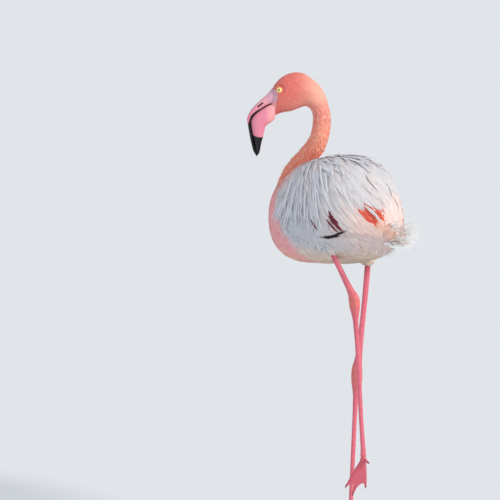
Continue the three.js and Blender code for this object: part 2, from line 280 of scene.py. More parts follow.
def round_eye(points, side):
    """How far out along an eye's axis points are, and how far off it."""
    rel = points - EYES[side]
    out = rel @ EYE_AXES[side]
    return out, np.linalg.norm(rel - out[:, None] * EYE_AXES[side], axis=1)


def lidded(points):
    """Shapes the skin round each eye: a hole over the ball, a raised lid at its edge and a shallow socket."""
    moved = points.copy()
    for side, axis in EYE_AXES.items():
        out, off = round_eye(points, side)
        ball = np.sqrt(np.maximum(EYE_RADIUS**2 - np.minimum(off, 0.9 * EYE_RADIUS) ** 2, 0))
        # The lid lies close over the ball, is thickest at its edge and drops behind the ball inside it.
        lid = ball + 0.55 * MM + 0.5 * MM * bell(off, LID_OPENING + 0.6 * MM, 0.7 * MM)
        lid -= 4.5 * MM * ease(-off, -LID_OPENING, -LID_OPENING + 0.6 * MM)
        share = 1 - ease(off, LID_OPENING + 0.9 * MM, LID_OPENING + 7 * MM)
        fold = 0.3 * MM * bell(off, LID_OPENING + 2.4 * MM, 0.6 * MM)
        near = (out > -3 * MM) & (off < 16 * MM)
        moved[near] += (((lid - out) * share - fold)[:, None] * axis)[near]
    return moved


BONE_END = 0.805  # the height down to which the bone of the bill reaches
THIGH_END = 0.558  # the height at which the standing leg comes out of its feathers
STANDING_THIGH = MM * np.array((-49, 40))  # its middle, from above
TAIL_FOOT = 0.182  # where the tail leaves the trunk
TAIL_LEVEL = 0.632  # the height that its flesh draws in to

# The skin runs on over the bone of the bill, under its horn, and closes behind the eyes.
skin = fused("skin", FLESH + ("eye_left", "eye_right", "bill_upper", "bill_lower"), SKIN_VOXEL, 14)
refine(skin.data, EYE_LEVEL, 40 * MM)
even_out(skin.data, 3)
for side in EYES:
    refine(skin.data, EYES[side], 16 * MM)
skin_points = points_of(skin.data)
skin_points -= normals_of(skin.data) * (coat_depth(skin_points) + SWELL)[:, None]
skin_points = lidded(skin_points)
# The tail's flesh is short and draws in to its end. Its feathers reach on from there.
behind = skin_points[:, 1] > TAIL_FOOT
tail_share = ease(skin_points[:, 1], TAIL_FOOT, 0.24)
skin_points[behind, 1] = TAIL_FOOT + 0.24 * (skin_points[behind, 1] - TAIL_FOOT)
skin_points[:, 2] += (TAIL_LEVEL - skin_points[:, 2]) * 0.3 * tail_share
skin_points[:, 0] += (MIDDLE - skin_points[:, 0]) * 0.3 * tail_share


def off_standing_thigh(points):
    """How far from the upright line through the standing thigh points are."""
    return np.hypot(points[:, 0] - STANDING_THIGH[0], points[:, 1] - STANDING_THIGH[1])


# The feathered thigh of the standing leg ends a little higher than its flesh.
cuff = (off_standing_thigh(skin_points) < 0.03) & (skin_points[:, 2] < THIGH_END)
skin_points[cuff, 2] = THIGH_END + 0.35 * (skin_points[cuff, 2] - THIGH_END)
# The bone of the bill ends well inside its horn.
in_bill = (in_head(skin_points)[0] > 0.02) & (skin_points[:, 2] < BONE_END) & (skin_points[:, 2] > 0.75)
skin_points[in_bill, 2] = BONE_END + 0.2 * (skin_points[in_bill, 2] - BONE_END)
set_points(skin.data, skin_points)


def light_of(*colour):
    """Turns a colour from the way it looks, 0 to 255, into light."""
    share = np.array(colour) / 255
    return np.where(share < 0.04045, share / 12.92, ((share + 0.055) / 1.055) ** 2.4)


def mixed(a, b, share):
    """A blend of two colours for each point: a where share is 0 and b where it is 1."""
    return a + (b - a) * np.asarray(share)[..., None]


CROWN_CORAL = light_of(228, 112, 102)
CHEEK_PEACH = light_of(252, 182, 158)
NECK_CORAL = light_of(252, 147, 120)
NECK_BASE = light_of(251, 164, 146)
BREAST_PINK = light_of(246, 170, 172)
BREAST_FLOOR = light_of(250, 186, 150)
BACK_WHITE = light_of(213, 208, 209)
FLANK_SHADE_BLUE = light_of(196, 198, 207)
WING_PINK = light_of(244, 208, 198)
BELLY_SHADE = light_of(222, 198, 176)
RUMP_PEACH = light_of(250, 196, 168)
LORE_LILAC = light_of(214, 164, 180)
GAPE_PINK = light_of(246, 172, 166)
MOUTH_SHADE = light_of(14, 9, 11)
BROW_SHADE = light_of(206, 76, 66)
# How far forward of the eye the feathers of the face reach, by depth below it.
FACE_EDGE = MM * np.array([(0, 4.6), (8, 3.4), (17, 3.2), (26, 6.4), (38, 7.6), (46, 11.4)])
# A peach streak runs down each side of the rump: place along the body, off its middle, and height.
RUMP_STREAK = MM * np.array([(170, 36, 662), (215, 12, 622)])


def waves(points, size, seed):
    """A soft wandering pattern from -1 to 1, with patches of about the given size."""
    draw = np.random.default_rng(seed)
    total = np.zeros(len(points))
    for _ in range(7):
        way = draw.normal(size=3)
        run = points @ (way / np.linalg.norm(way))
        total += np.sin(run * draw.uniform(3, 7) / size + draw.uniform(0, 6.28))
    return total / 3.5


def head_tint(points):
    """Deepest coral on the crown, paler on cheek, throat and nape, with painted shade of deep red over the
    eye.
    """
    forward, _, up = in_head(points)
    cheek = ease(-up, 0.005, 0.03) * ease(-forward, -0.005, 0.03)
    nape = ease(-forward, 0.022, 0.078) * ease(up, -0.04, -0.01)
    head = mixed(CROWN_CORAL, CHEEK_PEACH, 0.25 * cheek * (1 - nape) + 0.85 * nape)
    # Painted shade: a band of deep red lies over each eye, under the brow.
    return mixed(head, BROW_SHADE, 0.8 * bell(forward, -1 * MM, 6 * MM) * bell(up, 8.5 * MM, 2.4 * MM))


def breast_tint(points):
    """Pink, warmer under the breast. The coral of the neck runs down over its top."""
    y, z = points[:, 1], points[:, 2]
    breast = mixed(BREAST_PINK, BREAST_FLOOR, ease(-z, -0.6, -0.555) * ease(-y, 0.05, 0.1))
    bib = 0.724 + 0.27 * y + 0.005 * waves(points, 0.012, 7)
    near_neck = 1 - 0.75 * ease(along_neck(points)[1], 0.06, 0.09)
    return mixed(breast, NECK_BASE, ease(z, bib - 0.04, bib + 0.02) * near_neck)


def white_tint(points):
    """White over back and wings, with pink and peach, and painted shade: grey-brown below, blue-grey on the
    flank.
    """
    y, z = points[:, 1], points[:, 2]
    below = below_wing(points)
    white = mixed(BACK_WHITE, WING_PINK, 0.5 * ease(y, 0.06, 0.15) * ease(-z, -0.73, -0.66))
    # Painted shade: the underside is tinted grey-brown.
    white = mixed(white, BELLY_SHADE, ease(-z, -0.62, -0.57))
    # Pink glows along the wing's lower edge and over its hind end.
    glow = ease(y, 0.1, 0.15) * ease(-below, -0.005, 0.01) * ease(below, -0.06, -0.02)
    white = mixed(white, WING_PINK, 0.8 * glow)
    hind_end = ease(y, 0.17, 0.19) * ease(z, 0.595, 0.61) * (1 - 0.65 * ease(z, 0.64, 0.675))
    white = mixed(white, WING_PINK, hind_end)
    streak_out, streak_up = (np.interp(y, RUMP_STREAK[:, 0], RUMP_STREAK[:, i]) for i in (1, 2))
    streak = np.hypot(off_middle(points) - streak_out, z - streak_up)
    on_rump = ease(y, 0.155, 0.17) * ease(-y, -0.24, -0.22)
    white = mixed(white, RUMP_PEACH, ease(-streak, -0.026, -0.006) * on_rump)
    # The tufts over the legs stay white, and soft pink clouds lie over all of it.
    tuft = ease(z, 0.588, 0.596) * ease(-z, -0.618, -0.608) * ease(y, 0.03, 0.045) * ease(-y, -0.1, -0.08)
    white = mixed(white, BACK_WHITE, tuft)
    white = mixed(white, WING_PINK, 0.35 * np.clip(waves(points, 0.05, 3), 0, 1))
    # Painted shade: the hollow of the flank before the wings is tinted blue-grey, as white feathers in shade.
    hollow = ease(-y, -0.06, -0.03) * ease(-z, -0.72, -0.68) * ease(z, 0.58, 0.63)
    return mixed(white, FLANK_SHADE_BLUE, 0.8 * hollow)


def plumage_tint(points):
    """The colour of the skin and of the feathers rooted at each point."""
    reach = along_neck(points)[0]
    forward, _, up = in_head(points)
    neck = mixed(NECK_CORAL, NECK_BASE, ease(reach, 0.27, 0.36))
    front = mixed(head_tint(points), neck, ease(reach, 0.11, 0.17))
    # The trunk is pink before the wings and white behind.
    edge = np.interp(points[:, 2], PINK_EDGE[:, 0], PINK_EDGE[:, 1])
    edge = edge + 0.006 * waves(points, 0.02, 5) + 0.004 * waves(points, 0.006, 6)
    trunk = mixed(breast_tint(points), white_tint(points), ease(points[:, 1], edge - 0.016, edge + 0.016))
    tint = mixed(front, trunk, trunk_share(points))
    # Under the horn the skin is painted near black, as painted shade in the gaps of the bill. On the lores it
    # is bare.
    tint = mixed(tint, MOUTH_SHADE, ease(forward, 0.0155, 0.0165) * (reach < 0.05))
    past_feathers = forward - np.interp(-up, FACE_EDGE[:, 0], FACE_EDGE[:, 1])
    lore = ease(-forward, -0.016, -0.015) * ease(past_feathers, 0.0, 0.001)
    lore = lore * ease(-up, -0.003, 0.001) * ease(-reach, -0.06, -0.05)
    return mixed(tint, mixed(LORE_LILAC, GAPE_PINK, ease(-up, 0.02, 0.032)), lore)


def paint(mesh, tints):
    """Stores a colour for each point of a mesh."""
    layer = mesh.color_attributes.new("tint", "FLOAT_COLOR", "POINT")
    layer.data.foreach_set("color", np.column_stack((tints, np.ones(len(tints)))).astype(np.float32).ravel())


def painted_material(
    name, roughness, grain, bump, mottle=0.12, subsurface=0.0, coat=0.0, sheen=0.0, barbs=None,
):
    """The stored colour, mottled and roughened with one grain. barbs draws the grain out along feathers."""
    material = bpy.data.materials.new(name)
    material.use_nodes = True
    nodes, links = material.node_tree.nodes, material.node_tree.links
    shader = nodes["Principled BSDF"]
    for socket, value in (
        ("Roughness", roughness), ("Specular IOR Level", 0.35), ("Subsurface Weight", subsurface),
        ("Subsurface Scale", 3 * MM), ("Subsurface Radius", (1.0, 0.45, 0.35)), ("Coat Weight", coat),
        ("Coat Roughness", 0.12), ("Sheen Weight", sheen),
    ):
        shader.inputs[socket].default_value = value
    tint = nodes.new("ShaderNodeAttribute")
    tint.attribute_name = "tint"
    grains = nodes.new("ShaderNodeTexNoise")
    grains.inputs["Scale"].default_value = 1 / grain
    grains.inputs["Detail"].default_value = 3
    if barbs:
        place = nodes.new("ShaderNodeUVMap")
        place.uv_map = "vane"
        spread = nodes.new("ShaderNodeMapping")
        spread.inputs["Scale"].default_value = barbs
        links.new(place.outputs["UV"], spread.inputs["Vector"])
        links.new(spread.outputs["Vector"], grains.inputs["Vector"])
    else:
        place = nodes.new("ShaderNodeTexCoord")
        links.new(place.outputs["Object"], grains.inputs["Vector"])
    level = nodes.new("ShaderNodeMapRange")
    for end, value in (("From Min", 0.3), ("From Max", 0.7), ("To Min", 1 - mottle), ("To Max", 1 + mottle)):
        level.inputs[end].default_value = value
    links.new(grains.outputs["Fac"], level.inputs["Value"])
    shade = nodes.new("ShaderNodeVectorMath")
    shade.operation = "SCALE"
    links.new(tint.outputs["Color"], shade.inputs["Vector"])
    links.new(level.outputs["Result"], shade.inputs["Scale"])
    links.new(shade.outputs["Vector"], shader.inputs["Base Color"])
    relief = nodes.new("ShaderNodeBump")
    relief.inputs["Strength"].default_value = 1.0
    relief.inputs["Distance"].default_value = bump
    links.new(grains.outputs["Fac"], relief.inputs["Height"])
    links.new(relief.outputs["Normal"], shader.inputs["Normal"])
    return material


skin_finish = painted_material("skin_finish", 0.6, 2.4 * MM, 0.4 * MM, subsurface=0.15)


def finish_piece(piece, material, nodes=()):
    """Gives a piece its material, and its place in the set of parts."""
    piece.data.materials.clear()
    piece.data.materials.append(material)
    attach(piece, "root")
    if nodes:
        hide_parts(*nodes)


paint(skin.data, plumage_tint(skin_points))
finish_piece(skin, skin_finish, FLESH)

# ---- Bill ------------------------------------------------------------------------------------------------
# Two hollow sheaths of horn over bone, bent down half way: a shallow upper lid and a deep lower trough.
# Both are smooth bubble-gum pink with black edges and a glossy black tip, and the upper one has slit
# nostrils.

BILL_PINK = light_of(228, 136, 158)
BILL_PALE = light_of(230, 162, 174)
BILL_BASE = light_of(216, 164, 182)
LOWER_BASE = light_of(244, 168, 168)
BILL_BLACK = light_of(6, 5, 7)
BILL_TIP = MM * np.array((45.5, 0, -134.5))
MOUTH_LINE = MM * np.array([
    (12, -27), (30, -35.2), (43.6, -41.8), (54.4, -51.2), (59, -62), (60, -75), (57, -90),
])
NOSTRIL = MM * np.array([(34, -26.2), (43, -33.4)])
GROOVE = MM * np.array([(22, -18.2), (53, -40.4)])  # the shallow furrow that each nostril lies in
# The black of the tip starts at these heights from the eyes. At the tip the halves lean together, the upper
# one back and the lower one forward.
BLACK_BELOW = {"bill_upper": -67 * MM, "bill_lower": -87.5 * MM}
MEETS = {"bill_upper": -1, "bill_lower": 1}

bill_finish = painted_material(
    "bill_finish", 0.3, 1.6 * MM, 0.05 * MM, mottle=0.05, subsurface=0.12, coat=0.25,
)


def off_line(forward, up, knots):
    """Distance of points in the head's middle plane from a line through knots, and the share along it."""
    line = through(knots, 80)
    gaps = np.hypot(forward[:, None] - line[None, :, 0], up[:, None] - line[None, :, 1])
    return gaps.min(axis=1), gaps.argmin(axis=1) / (len(line) - 1)


def bill_tint(points, black_below):
    """Pink horn, paler at its root, with black along the mouth and at the tip."""
    forward, _, up = in_head(points)
    mouth, share = off_line(forward, up, MOUTH_LINE)
    tint = mixed(BILL_PALE, BILL_PINK, ease(-up, 0.02, 0.05))
    tint = mixed(mixed(BILL_BASE, LOWER_BASE, ease(-up, 0.026, 0.032)), tint, ease(forward, 0.016, 0.03))
    # The black rim of the mouth widens from the gape to the bend.
    rim = (0.2 + 1.15 * ease(share, 0.15, 0.7)) * MM
    black = 1 - ease(mouth, rim, rim + 0.7 * MM)
    # The tip is black below a line that dips in the middle of the side.
    dip = np.sin(np.clip((58.5 * MM - forward) / (26 * MM), 0, 1) * math.pi * 0.62)
    tip = 1 - ease(up - (black_below - 7.5 * MM * dip), -0.7 * MM, 0.7 * MM)
    return mixed(tint, BILL_BLACK, np.maximum(black, tip))


def sheath(name):
    """One half of the bill, made even. The upper one has its nostrils pressed in."""
    piece = fused(f"{name}_horn", (name,), 0.65 * MM, 9, swell=0.45 * MM)
    points = points_of(piece.data)
    normals = normals_of(piece.data)
    forward, left, up = in_head(points)
    # The root of the horn runs a little way in under the skin of the face.
    rooted = 1 - ease(forward, 12 * MM, 15.5 * MM)
    points -= rooted[:, None] * (2.5 * MM * HEAD_FORWARD + 0.35 * MM * normals)
    # Both tips round off to one point, and near it the two edges meet.
    near_tip = np.clip((BILL_TIP[2] + 15 * MM - up) / (15 * MM), 0, 1)
    closing = 0.85 * (1 - np.sqrt(1 - near_tip**2))
    meeting = 0.55 * MM * MEETS[name] * ease(-up, 0.104, 0.126)
    points += (closing * (BILL_TIP[0] - forward) + meeting)[:, None] * HEAD_FORWARD
    points += (closing * (BILL_TIP[1] - left))[:, None] * HEAD_LEFT
    if name == "bill_upper":
        slit = off_line(forward, up, NOSTRIL)[0]
        groove = off_line(forward, up, GROOVE)[0]
        hollow = 1.6 * MM * (1 - ease(slit, 0.9 * MM, 2.2 * MM)) * ease(np.abs(left), 2 * MM, 4 * MM)
        hollow += 0.35 * MM * (1 - ease(groove, 0.6 * MM, 2.4 * MM)) * ease(np.abs(left), 3 * MM, 5 * MM)
        points -= normals * hollow[:, None]
    tint = bill_tint(points, BLACK_BELOW[name])
    # Painted shade: the slits of the nostrils are painted black.
    if name == "bill_upper":
        slit_shade = (1 - ease(slit, 1.4 * MM, 2.0 * MM)) * ease(np.abs(left), 2 * MM, 3.5 * MM)
        tint = mixed(tint, BILL_BLACK, slit_shade)
    set_points(piece.data, points)
    paint(piece.data, tint)
    finish_piece(piece, bill_finish, (name,))


for half in MEETS:
    sheath(half)

# ---- Eyes ------------------------------------------------------------------------------------------------
# Each eye is a clear wet ball, set so that only its front shows, with a pale yellow iris round a small
# pupil. A ring of bare lid holds it.

CORNEA = 0.5 * MM  # how far the clear front of the ball bulges out
IRIS_RADIUS = 5.9 * MM
PUPIL_RADIUS = 1.9 * MM
IRIS_YELLOW = light_of(240, 218, 132)
IRIS_RIM = light_of(214, 176, 94)
EYE_DARK = light_of(30, 22, 16)

eye_finish = painted_material("eye_finish", 0.12, 0.5 * MM, 0.02 * MM, mottle=0.1, coat=1.0)
eye_finish.node_tree.nodes["Principled BSDF"].inputs["Coat Roughness"].default_value = 0.03


def new_piece(name, points, faces):
    """A smooth closed piece with all its faces turned outward."""
    mesh = bpy.data.meshes.new(name)
    mesh.from_pydata(points, [], faces)
    mesh.shade_smooth()
    work = bmesh.new()
    work.from_mesh(mesh)
    bmesh.ops.recalc_face_normals(work, faces=work.faces)
    work.to_mesh(mesh)
    work.free()
    return placed(name, mesh)


def ring_faces(rings, sides, start):
    """Quads between rings of points, the first of which is at start."""
    faces = []
    for i in range(rings - 1):
        for j in range(sides):
            k = (j + 1) % sides
            low, high = start + i * sides, start + (i + 1) * sides
            faces.append((low + j, low + k, high + k, high + j))
    return faces


def eyeball(side):
    """One eye. Its rings lie closest in front, where pupil and iris are."""
    axis, middle = EYE_AXES[side], EYES[side]
    across = unit(np.cross((0, 0, 1), axis))
    up = np.cross(axis, across)
    rings, sides = 44, 48
    points = [middle + axis * (EYE_RADIUS + CORNEA)]
    for angle in (np.arange(1, rings + 1) / (rings + 1)) ** 1.25 * math.pi:
        bulge = EYE_RADIUS + CORNEA * (1 - ease(angle, 0.0, 0.6))
        for round_by in 2 * math.pi * np.arange(sides) / sides:
            out = math.cos(round_by) * across + math.sin(round_by) * up
            points.append(middle + bulge * (math.cos(angle) * axis + math.sin(angle) * out))
    points.append(middle - axis * EYE_RADIUS)
    faces = ring_faces(rings, sides, 1)
    last = 1 + (rings - 1) * sides
    for j in range(sides):
        k = (j + 1) % sides
        faces += [(0, 1 + k, 1 + j), (len(points) - 1, last + j, last + k)]
    points = np.array(points)
    piece = new_piece(f"eyeball_{side}", points, faces)
    off_axis = round_eye(points, side)[1]
    iris = mixed(IRIS_YELLOW, IRIS_RIM, ease(off_axis, 0.75 * IRIS_RADIUS, IRIS_RADIUS))
    iris = mixed(iris, EYE_DARK, ease(off_axis, IRIS_RADIUS, IRIS_RADIUS + 0.4 * MM))
    tint = mixed(EYE_DARK, iris, ease(off_axis, PUPIL_RADIUS - 0.2 * MM, PUPIL_RADIUS + 0.2 * MM))
    paint(piece.data, tint)
    finish_piece(piece, eye_finish, (f"eye_{side}",))


for side in EYES:
    eyeball(side)

# ---- Legs and feet ---------------------------------------------------------------------------------------
# Long bare legs of bone and sinew in a sleeve of rosy scaled skin, with swollen ankle joints and three webbed
# toes in front. Each leg's skin is one piece and runs up into the feathers of the thigh.

LEG_ROSE = light_of(222, 110, 126)
LEG_JOINT = light_of(226, 118, 112)
LEG_SHADE = light_of(164, 62, 84)
LEG_GROOVE = light_of(150, 54, 76)
WEB_ROSE = light_of(206, 92, 108)
SCALE_HEIGHT = 3.2 * MM
ANKLES = {"left": 0.493, "right": 0.330}  # heights of the swollen joints

leg_finish = painted_material("leg_finish", 0.42, 1.3 * MM, 0.12 * MM, mottle=0.1, subsurface=0.1, coat=0.08)


def scales(points, middle):
    """0 in the grooves between a leg's six-sided scales, 1 on them. middle is the axis at each point."""
    rel = points - middle
    round_by = np.arctan2(rel[:, 0], rel[:, 1]) / math.pi * 3
    row = points[:, 2] / SCALE_HEIGHT
    ridge = np.minimum(np.abs(np.cos(math.pi * row)), np.abs(np.cos(math.pi * (0.5 * row + round_by))))
    ridge = np.minimum(ridge, np.abs(np.cos(math.pi * (0.5 * row - round_by))))
    return ease(ridge, 0.02, 0.3)


def leg_axis(points):
    """The middle of the leg at each point's height."""
    z = points[:, 2]
    steps = np.arange(z.min(), z.max() + 4 * MM, 4 * MM)
    cell = np.digitize(z, steps)
    middles = np.array([points[cell == i].mean(axis=0) for i in range(len(steps) + 1) if (cell == i).any()])
    return np.column_stack([np.interp(z, middles[:, 2], middles[:, axis]) for axis in range(3)])


def leg(side):
    """The skin of one leg and foot, with its scales, from the toes up into the feathers of the thigh."""
    nodes = [f"{part}_{side}" for part in ("shank", "tarsus", "foot")]
    piece = fused(f"leg_{side}", nodes, 1.0 * MM, 6, swell=0.3 * MM)
    points = points_of(piece.data)
    toe_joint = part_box(f"tarsus_{side}")[0].z
    # The sleeve runs smoothly into the foot.
    at_joint = points[np.abs(points[:, 2] - toe_joint - 3 * MM) < 2 * MM].mean(axis=0)
    even_out(piece.data, 7, back=0.55)
    near = bell(np.linalg.norm(points - at_joint, axis=1), 0, 9 * MM)[:, None]
    points += near * (points_of(piece.data) - points)
    set_points(piece.data, points)
    # Its surface is pressed in to the leg's true girth, and a little more in the grooves between the scales.
    sleeve = ease(points[:, 2], toe_joint, toe_joint + 8 * MM)
    middle = leg_axis(points)
    scale = scales(points, middle) * sleeve + (1 - sleeve)
    points -= normals_of(piece.data) * ((1 - scale) * 0.14 + 0.3)[:, None] * MM
    points[:, 2] = np.maximum(points[:, 2], 0.0)
    # The shank goes on up, along its own line, inside the feathers of the thigh.
    top = points[:, 2].max()
    end = middle[points[:, 2] > top - 8 * MM].mean(axis=0)
    along = unit(end - middle[np.abs(points[:, 2] - top + 40 * MM) < 6 * MM].mean(axis=0))
    points += 20 * MM * along * ease(points[:, 2], top - 4 * MM, top - 1 * MM)[:, None]
    set_points(piece.data, points)
    # Painted shade: the skin's rose is darkened toward the top of the leg, under the feathers of the thigh.
    top = points[:, 2].max()
    tint = mixed(LEG_ROSE, LEG_JOINT, bell(points[:, 2], ANKLES[side], 22 * MM))
    tint = mixed(tint, WEB_ROSE, 1 - sleeve)
    tint = mixed(tint, LEG_SHADE, 0.7 * ease(points[:, 2], top - 42 * MM, top - 6 * MM))
    tint = mixed(LEG_GROOVE, tint, 0.6 + 0.4 * scale)
    paint(piece.data, tint)
    finish_piece(piece, leg_finish, nodes)


for side in ANKLES:
    leg(side)

# Each toe ends in a short blunt claw of dark horn, set over its tip.
CLAW_LENGTH = 9 * MM
CLAW_DARK = light_of(58, 42, 44)
# The tips of the three front toes and the hind one, and the joint that they spread from.
TOE_TIPS = {
    "right": MM * np.array([(-8.3, -36.7, 2.1), (-46.5, -9.1, 2.1), (31.6, -11.8, 2.0), (0.8, 67.8, 2.6)]),
    "left": MM * np.array([
        (12.9, 74.7, 97.6), (-10.8, 85.8, 111.3), (36.9, 83.3, 115.3), (19.2, 134.6, 168.4),
    ]),
}
TOE_JOINTS = {"right": MM * np.array((-1, 47, 8)), "left": MM * np.array((17, 114, 172))}

claw_finish = painted_material("claw_finish", 0.3, 0.8 * MM, 0.04 * MM, mottle=0.15, coat=0.4)


def claws(side):
    """The four claws of a foot, each a cone that curves down. The hind one is the smallest."""
    rings, sides = 8, 12
    points, faces = [], []
    for tip, size in zip(TOE_TIPS[side], (1, 1, 1, 0.6)):
        along = unit(tip - TOE_JOINTS[side])
        across = unit(np.cross(along, (0, 0, 1)))
        upward = np.cross(across, along)
        start = len(points)
        for share in np.linspace(0, 1, rings):
            run = (share - 0.62) * CLAW_LENGTH * size
            rise = (1.5 - 2.2 * share**2) * MM * size
            girth = MM * size * math.sqrt(1 - 0.97 * share**1.6)
            for angle in np.linspace(0, 2 * math.pi, sides, endpoint=False):
                out = 2.1 * math.cos(angle) * across + 1.5 * math.sin(angle) * upward
                points.append(tip + along * run + upward * rise + girth * out)
        faces += ring_faces(rings, sides, start)
        faces.append(tuple(start + j for j in range(sides)))
        faces.append(tuple(start + (rings - 1) * sides + j for j in reversed(range(sides))))
    points = np.array(points)
    points[:, 2] = np.maximum(points[:, 2], 0.0)
    piece = new_piece(f"claws_{side}", points, faces)
    paint(piece.data, np.tile(CLAW_DARK, (len(points), 1)))
    finish_piece(piece, claw_finish)


for side in TOE_TIPS:
    claws(side)

# ---- Feathers of head and neck ---------------------------------------------------------------------------
# Thousands of short soft feathers, a few millimetres long on the face and a centimetre on the neck, rooted
# in rows and lying back from the bill. They are velvety on the head and stand a little ruffled down the
# neck.

skin.data.calc_loop_triangles()
skin_faces = np.empty(len(skin.data.loop_triangles) * 3, int)
skin.data.loop_triangles.foreach_get("vertices", skin_faces)
skin_faces = skin_faces.reshape(-1, 3)
skin_tree = BVHTree.FromPolygons(skin_points.tolist(), skin_faces.tolist())
skin_normals = normals_of(skin.data)


def level(ways, ups):
    """The part of each way that lies flat on the surface."""
    return unit(ways - (ways * ups).sum(axis=-1, keepdims=True) * ups)


def turned(ways, ups, angle):
    """Ways turned about the surface's normals."""
    angle = np.broadcast_to(angle, ways.shape[:-1])[..., None]
    return ways * np.cos(angle) + np.cross(ups, ways) * np.sin(angle)


def on_skin(points):
    """The nearest places on the skin and the smooth normals there."""
    places = np.empty_like(points)
    faces = np.empty(len(points), int)
    for i, point in enumerate(points.tolist()):
        place, _, faces[i], _ = skin_tree.find_nearest(point)
        places[i] = place
    return places, unit(skin_normals[skin_faces[faces]].sum(axis=1))


def scatter(spacing, wanted, seed):
    """Places on the skin about evenly spaced, where wanted says so."""
    draw = np.random.default_rng(seed)
    corners = skin_points[skin_faces]
    areas = np.linalg.norm(np.cross(corners[:, 1] - corners[:, 0], corners[:, 2] - corners[:, 0]), axis=1) / 2
    areas = areas * wanted(corners.mean(axis=1))
    # Four tries for each place wanted, each kept where no kept one is too near.
    count = int(4 * areas.sum() / spacing**2)
    chosen = corners[draw.choice(len(areas), count, p=areas / areas.sum())]
    a, b = draw.random((2, count, 1))
    over = a + b > 1
    a, b = np.where(over, 1 - a, a), np.where(over, 1 - b, b)
    tries = chosen[:, 0] + a * (chosen[:, 1] - chosen[:, 0]) + b * (chosen[:, 2] - chosen[:, 0])
    cells = np.floor(tries / spacing).astype(int)
    around = [(i, j, k) for i in (-1, 0, 1) for j in (-1, 0, 1) for k in (-1, 0, 1)]
    kept, taken = [], {}
    for place, (i, j, k) in zip(tries.tolist(), cells.tolist()):
        beside = (taken.get((i + u, j + v, k + w)) for u, v, w in around)
        if all(other is None or math.dist(place, other) > 0.8 * spacing for other in beside):
            taken[i, j, k] = place
            kept.append(place)
    return np.array(kept)


# How far back feathers lean against one part down, by place along the body.
LIE_AT = MM * np.array((-170, -60, 0, 60, 120, 180, 260))
LIE_BACK = (0.15, 0.1, 0.25, 0.6, 1.2, 2.0, 3.0)


def lie(points, ups):
    """The way feathers point: from the bill down the neck, then down and back round the trunk."""
    _, off, heading = along_neck(points)
    back = np.interp(points[:, 1], LIE_AT, LIE_BACK)
    upright = np.abs(ups[:, 2])
    trunk = np.column_stack((np.zeros(len(points)), back * (1 - upright) + upright, -np.ones(len(points))))
    share = (ease(off, 0.028, 0.05) * below_neck(points))[:, None]
    return level(heading * (1 - share) + unit(trunk) * share, ups)


def laid(roots, lengths, stations, turn, bend=0.0, stiff=0.5, flow=lie):
    """Marches feathers over the skin from their roots: the places under them, the normals and the ways."""
    points, ups = on_skin(roots)
    bend = np.broadcast_to(bend, len(roots))
    ways = turned(flow(points, ups), ups, turn)
    steps = (lengths / (stations - 1))[:, None]
    lines = [(points, ups, ways)]
    for i in range(1, stations):
        points, ups = on_skin(points + ways * steps)
        ways = level(ways, ups)
        aim = turned(flow(points, ups), ups, turn + bend * i / (stations - 1))
        ways = level(stiff * ways + (1 - stiff) * aim, ups)
        lines.append((points, ups, ways))
    return tuple(np.stack(part, axis=1) for part in zip(*lines))


def root_patch(roots):
    """Where each root lies on an unwrap of the skin: neck and head on one side, the trunk on the other."""
    reach = along_neck(roots)[0]
    rel = roots - neck_line[np.searchsorted(neck_reach, reach).clip(0, len(neck_line) - 1)]
    round_neck = np.arctan2(rel @ HEAD_LEFT, rel @ HEAD_FORWARD) / (2 * math.pi) + 0.5
    round_trunk = np.arctan2(roots[:, 0] - MIDDLE, roots[:, 2] - 0.66) / (2 * math.pi) + 0.5
    on_body = trunk_share(roots) > 0.5
    u = np.where(on_body, 0.52 + 0.46 * (roots[:, 1] + 0.19) / 0.48, 0.02 + 0.46 * reach / neck_reach[-1])
    v = 0.01 + 0.98 * np.where(on_body, round_trunk, round_neck)
    return np.column_stack((u, v))


# Cross sections of a blade, from one edge over the top to the other and back below it: across in half
# widths, and up in thicknesses. A vane bends down on both sides of its shaft.
LENS = ((1.0, 0.0), (0.0, 1.0), (-1.0, 0.0), (0.0, -0.4))
VANE = ((1.0, -0.9), (0.5, 0.35), (0.0, 1.0), (-0.5, 0.35), (-1.0, -0.9), (0.0, -0.1))
PATCH = 0.0015  # half the side of a feather's patch on the unwrap, as a share of the whole


def blade_faces(rings, sides):
    """The triangles of one closed blade: a point at each end and rings of points between them."""
    faces = []
    last = 1 + (rings - 1) * sides
    for j in range(sides):
        k = (j + 1) % sides
        faces += [(0, 1 + k, 1 + j), (last + j, last + k, last + sides)]
        for a in range(1, last, sides):
            b = a + sides
            faces += [(a + j, a + k, b + k), (a + j, b + k, b + j)]
    return np.array(faces)


def sharpen_rims(mesh, each, section):
    """Makes the rims of blades of each points sharp, so that light falls evenly on either side of a vane."""
    local = ends_of(mesh) % each
    place = (local - 1) % len(section)
    closing = (local == 0) | (local == each - 1)
    rim = np.isin(place, [j for j, (across, _) in enumerate(section) if abs(across) == 1])
    sharp = (rim | closing).all(axis=1) & ((place[:, 0] == place[:, 1]) | closing.any(axis=1))
    mesh.edges.foreach_set("use_edge_sharp", sharp)


def over_rings(values, sides):
    """A feather's values by station, given to every point of its blade."""
    return np.concatenate((values[:, :1], np.repeat(values[:, 1:-1], sides, axis=1), values[:, -1:]), axis=1)


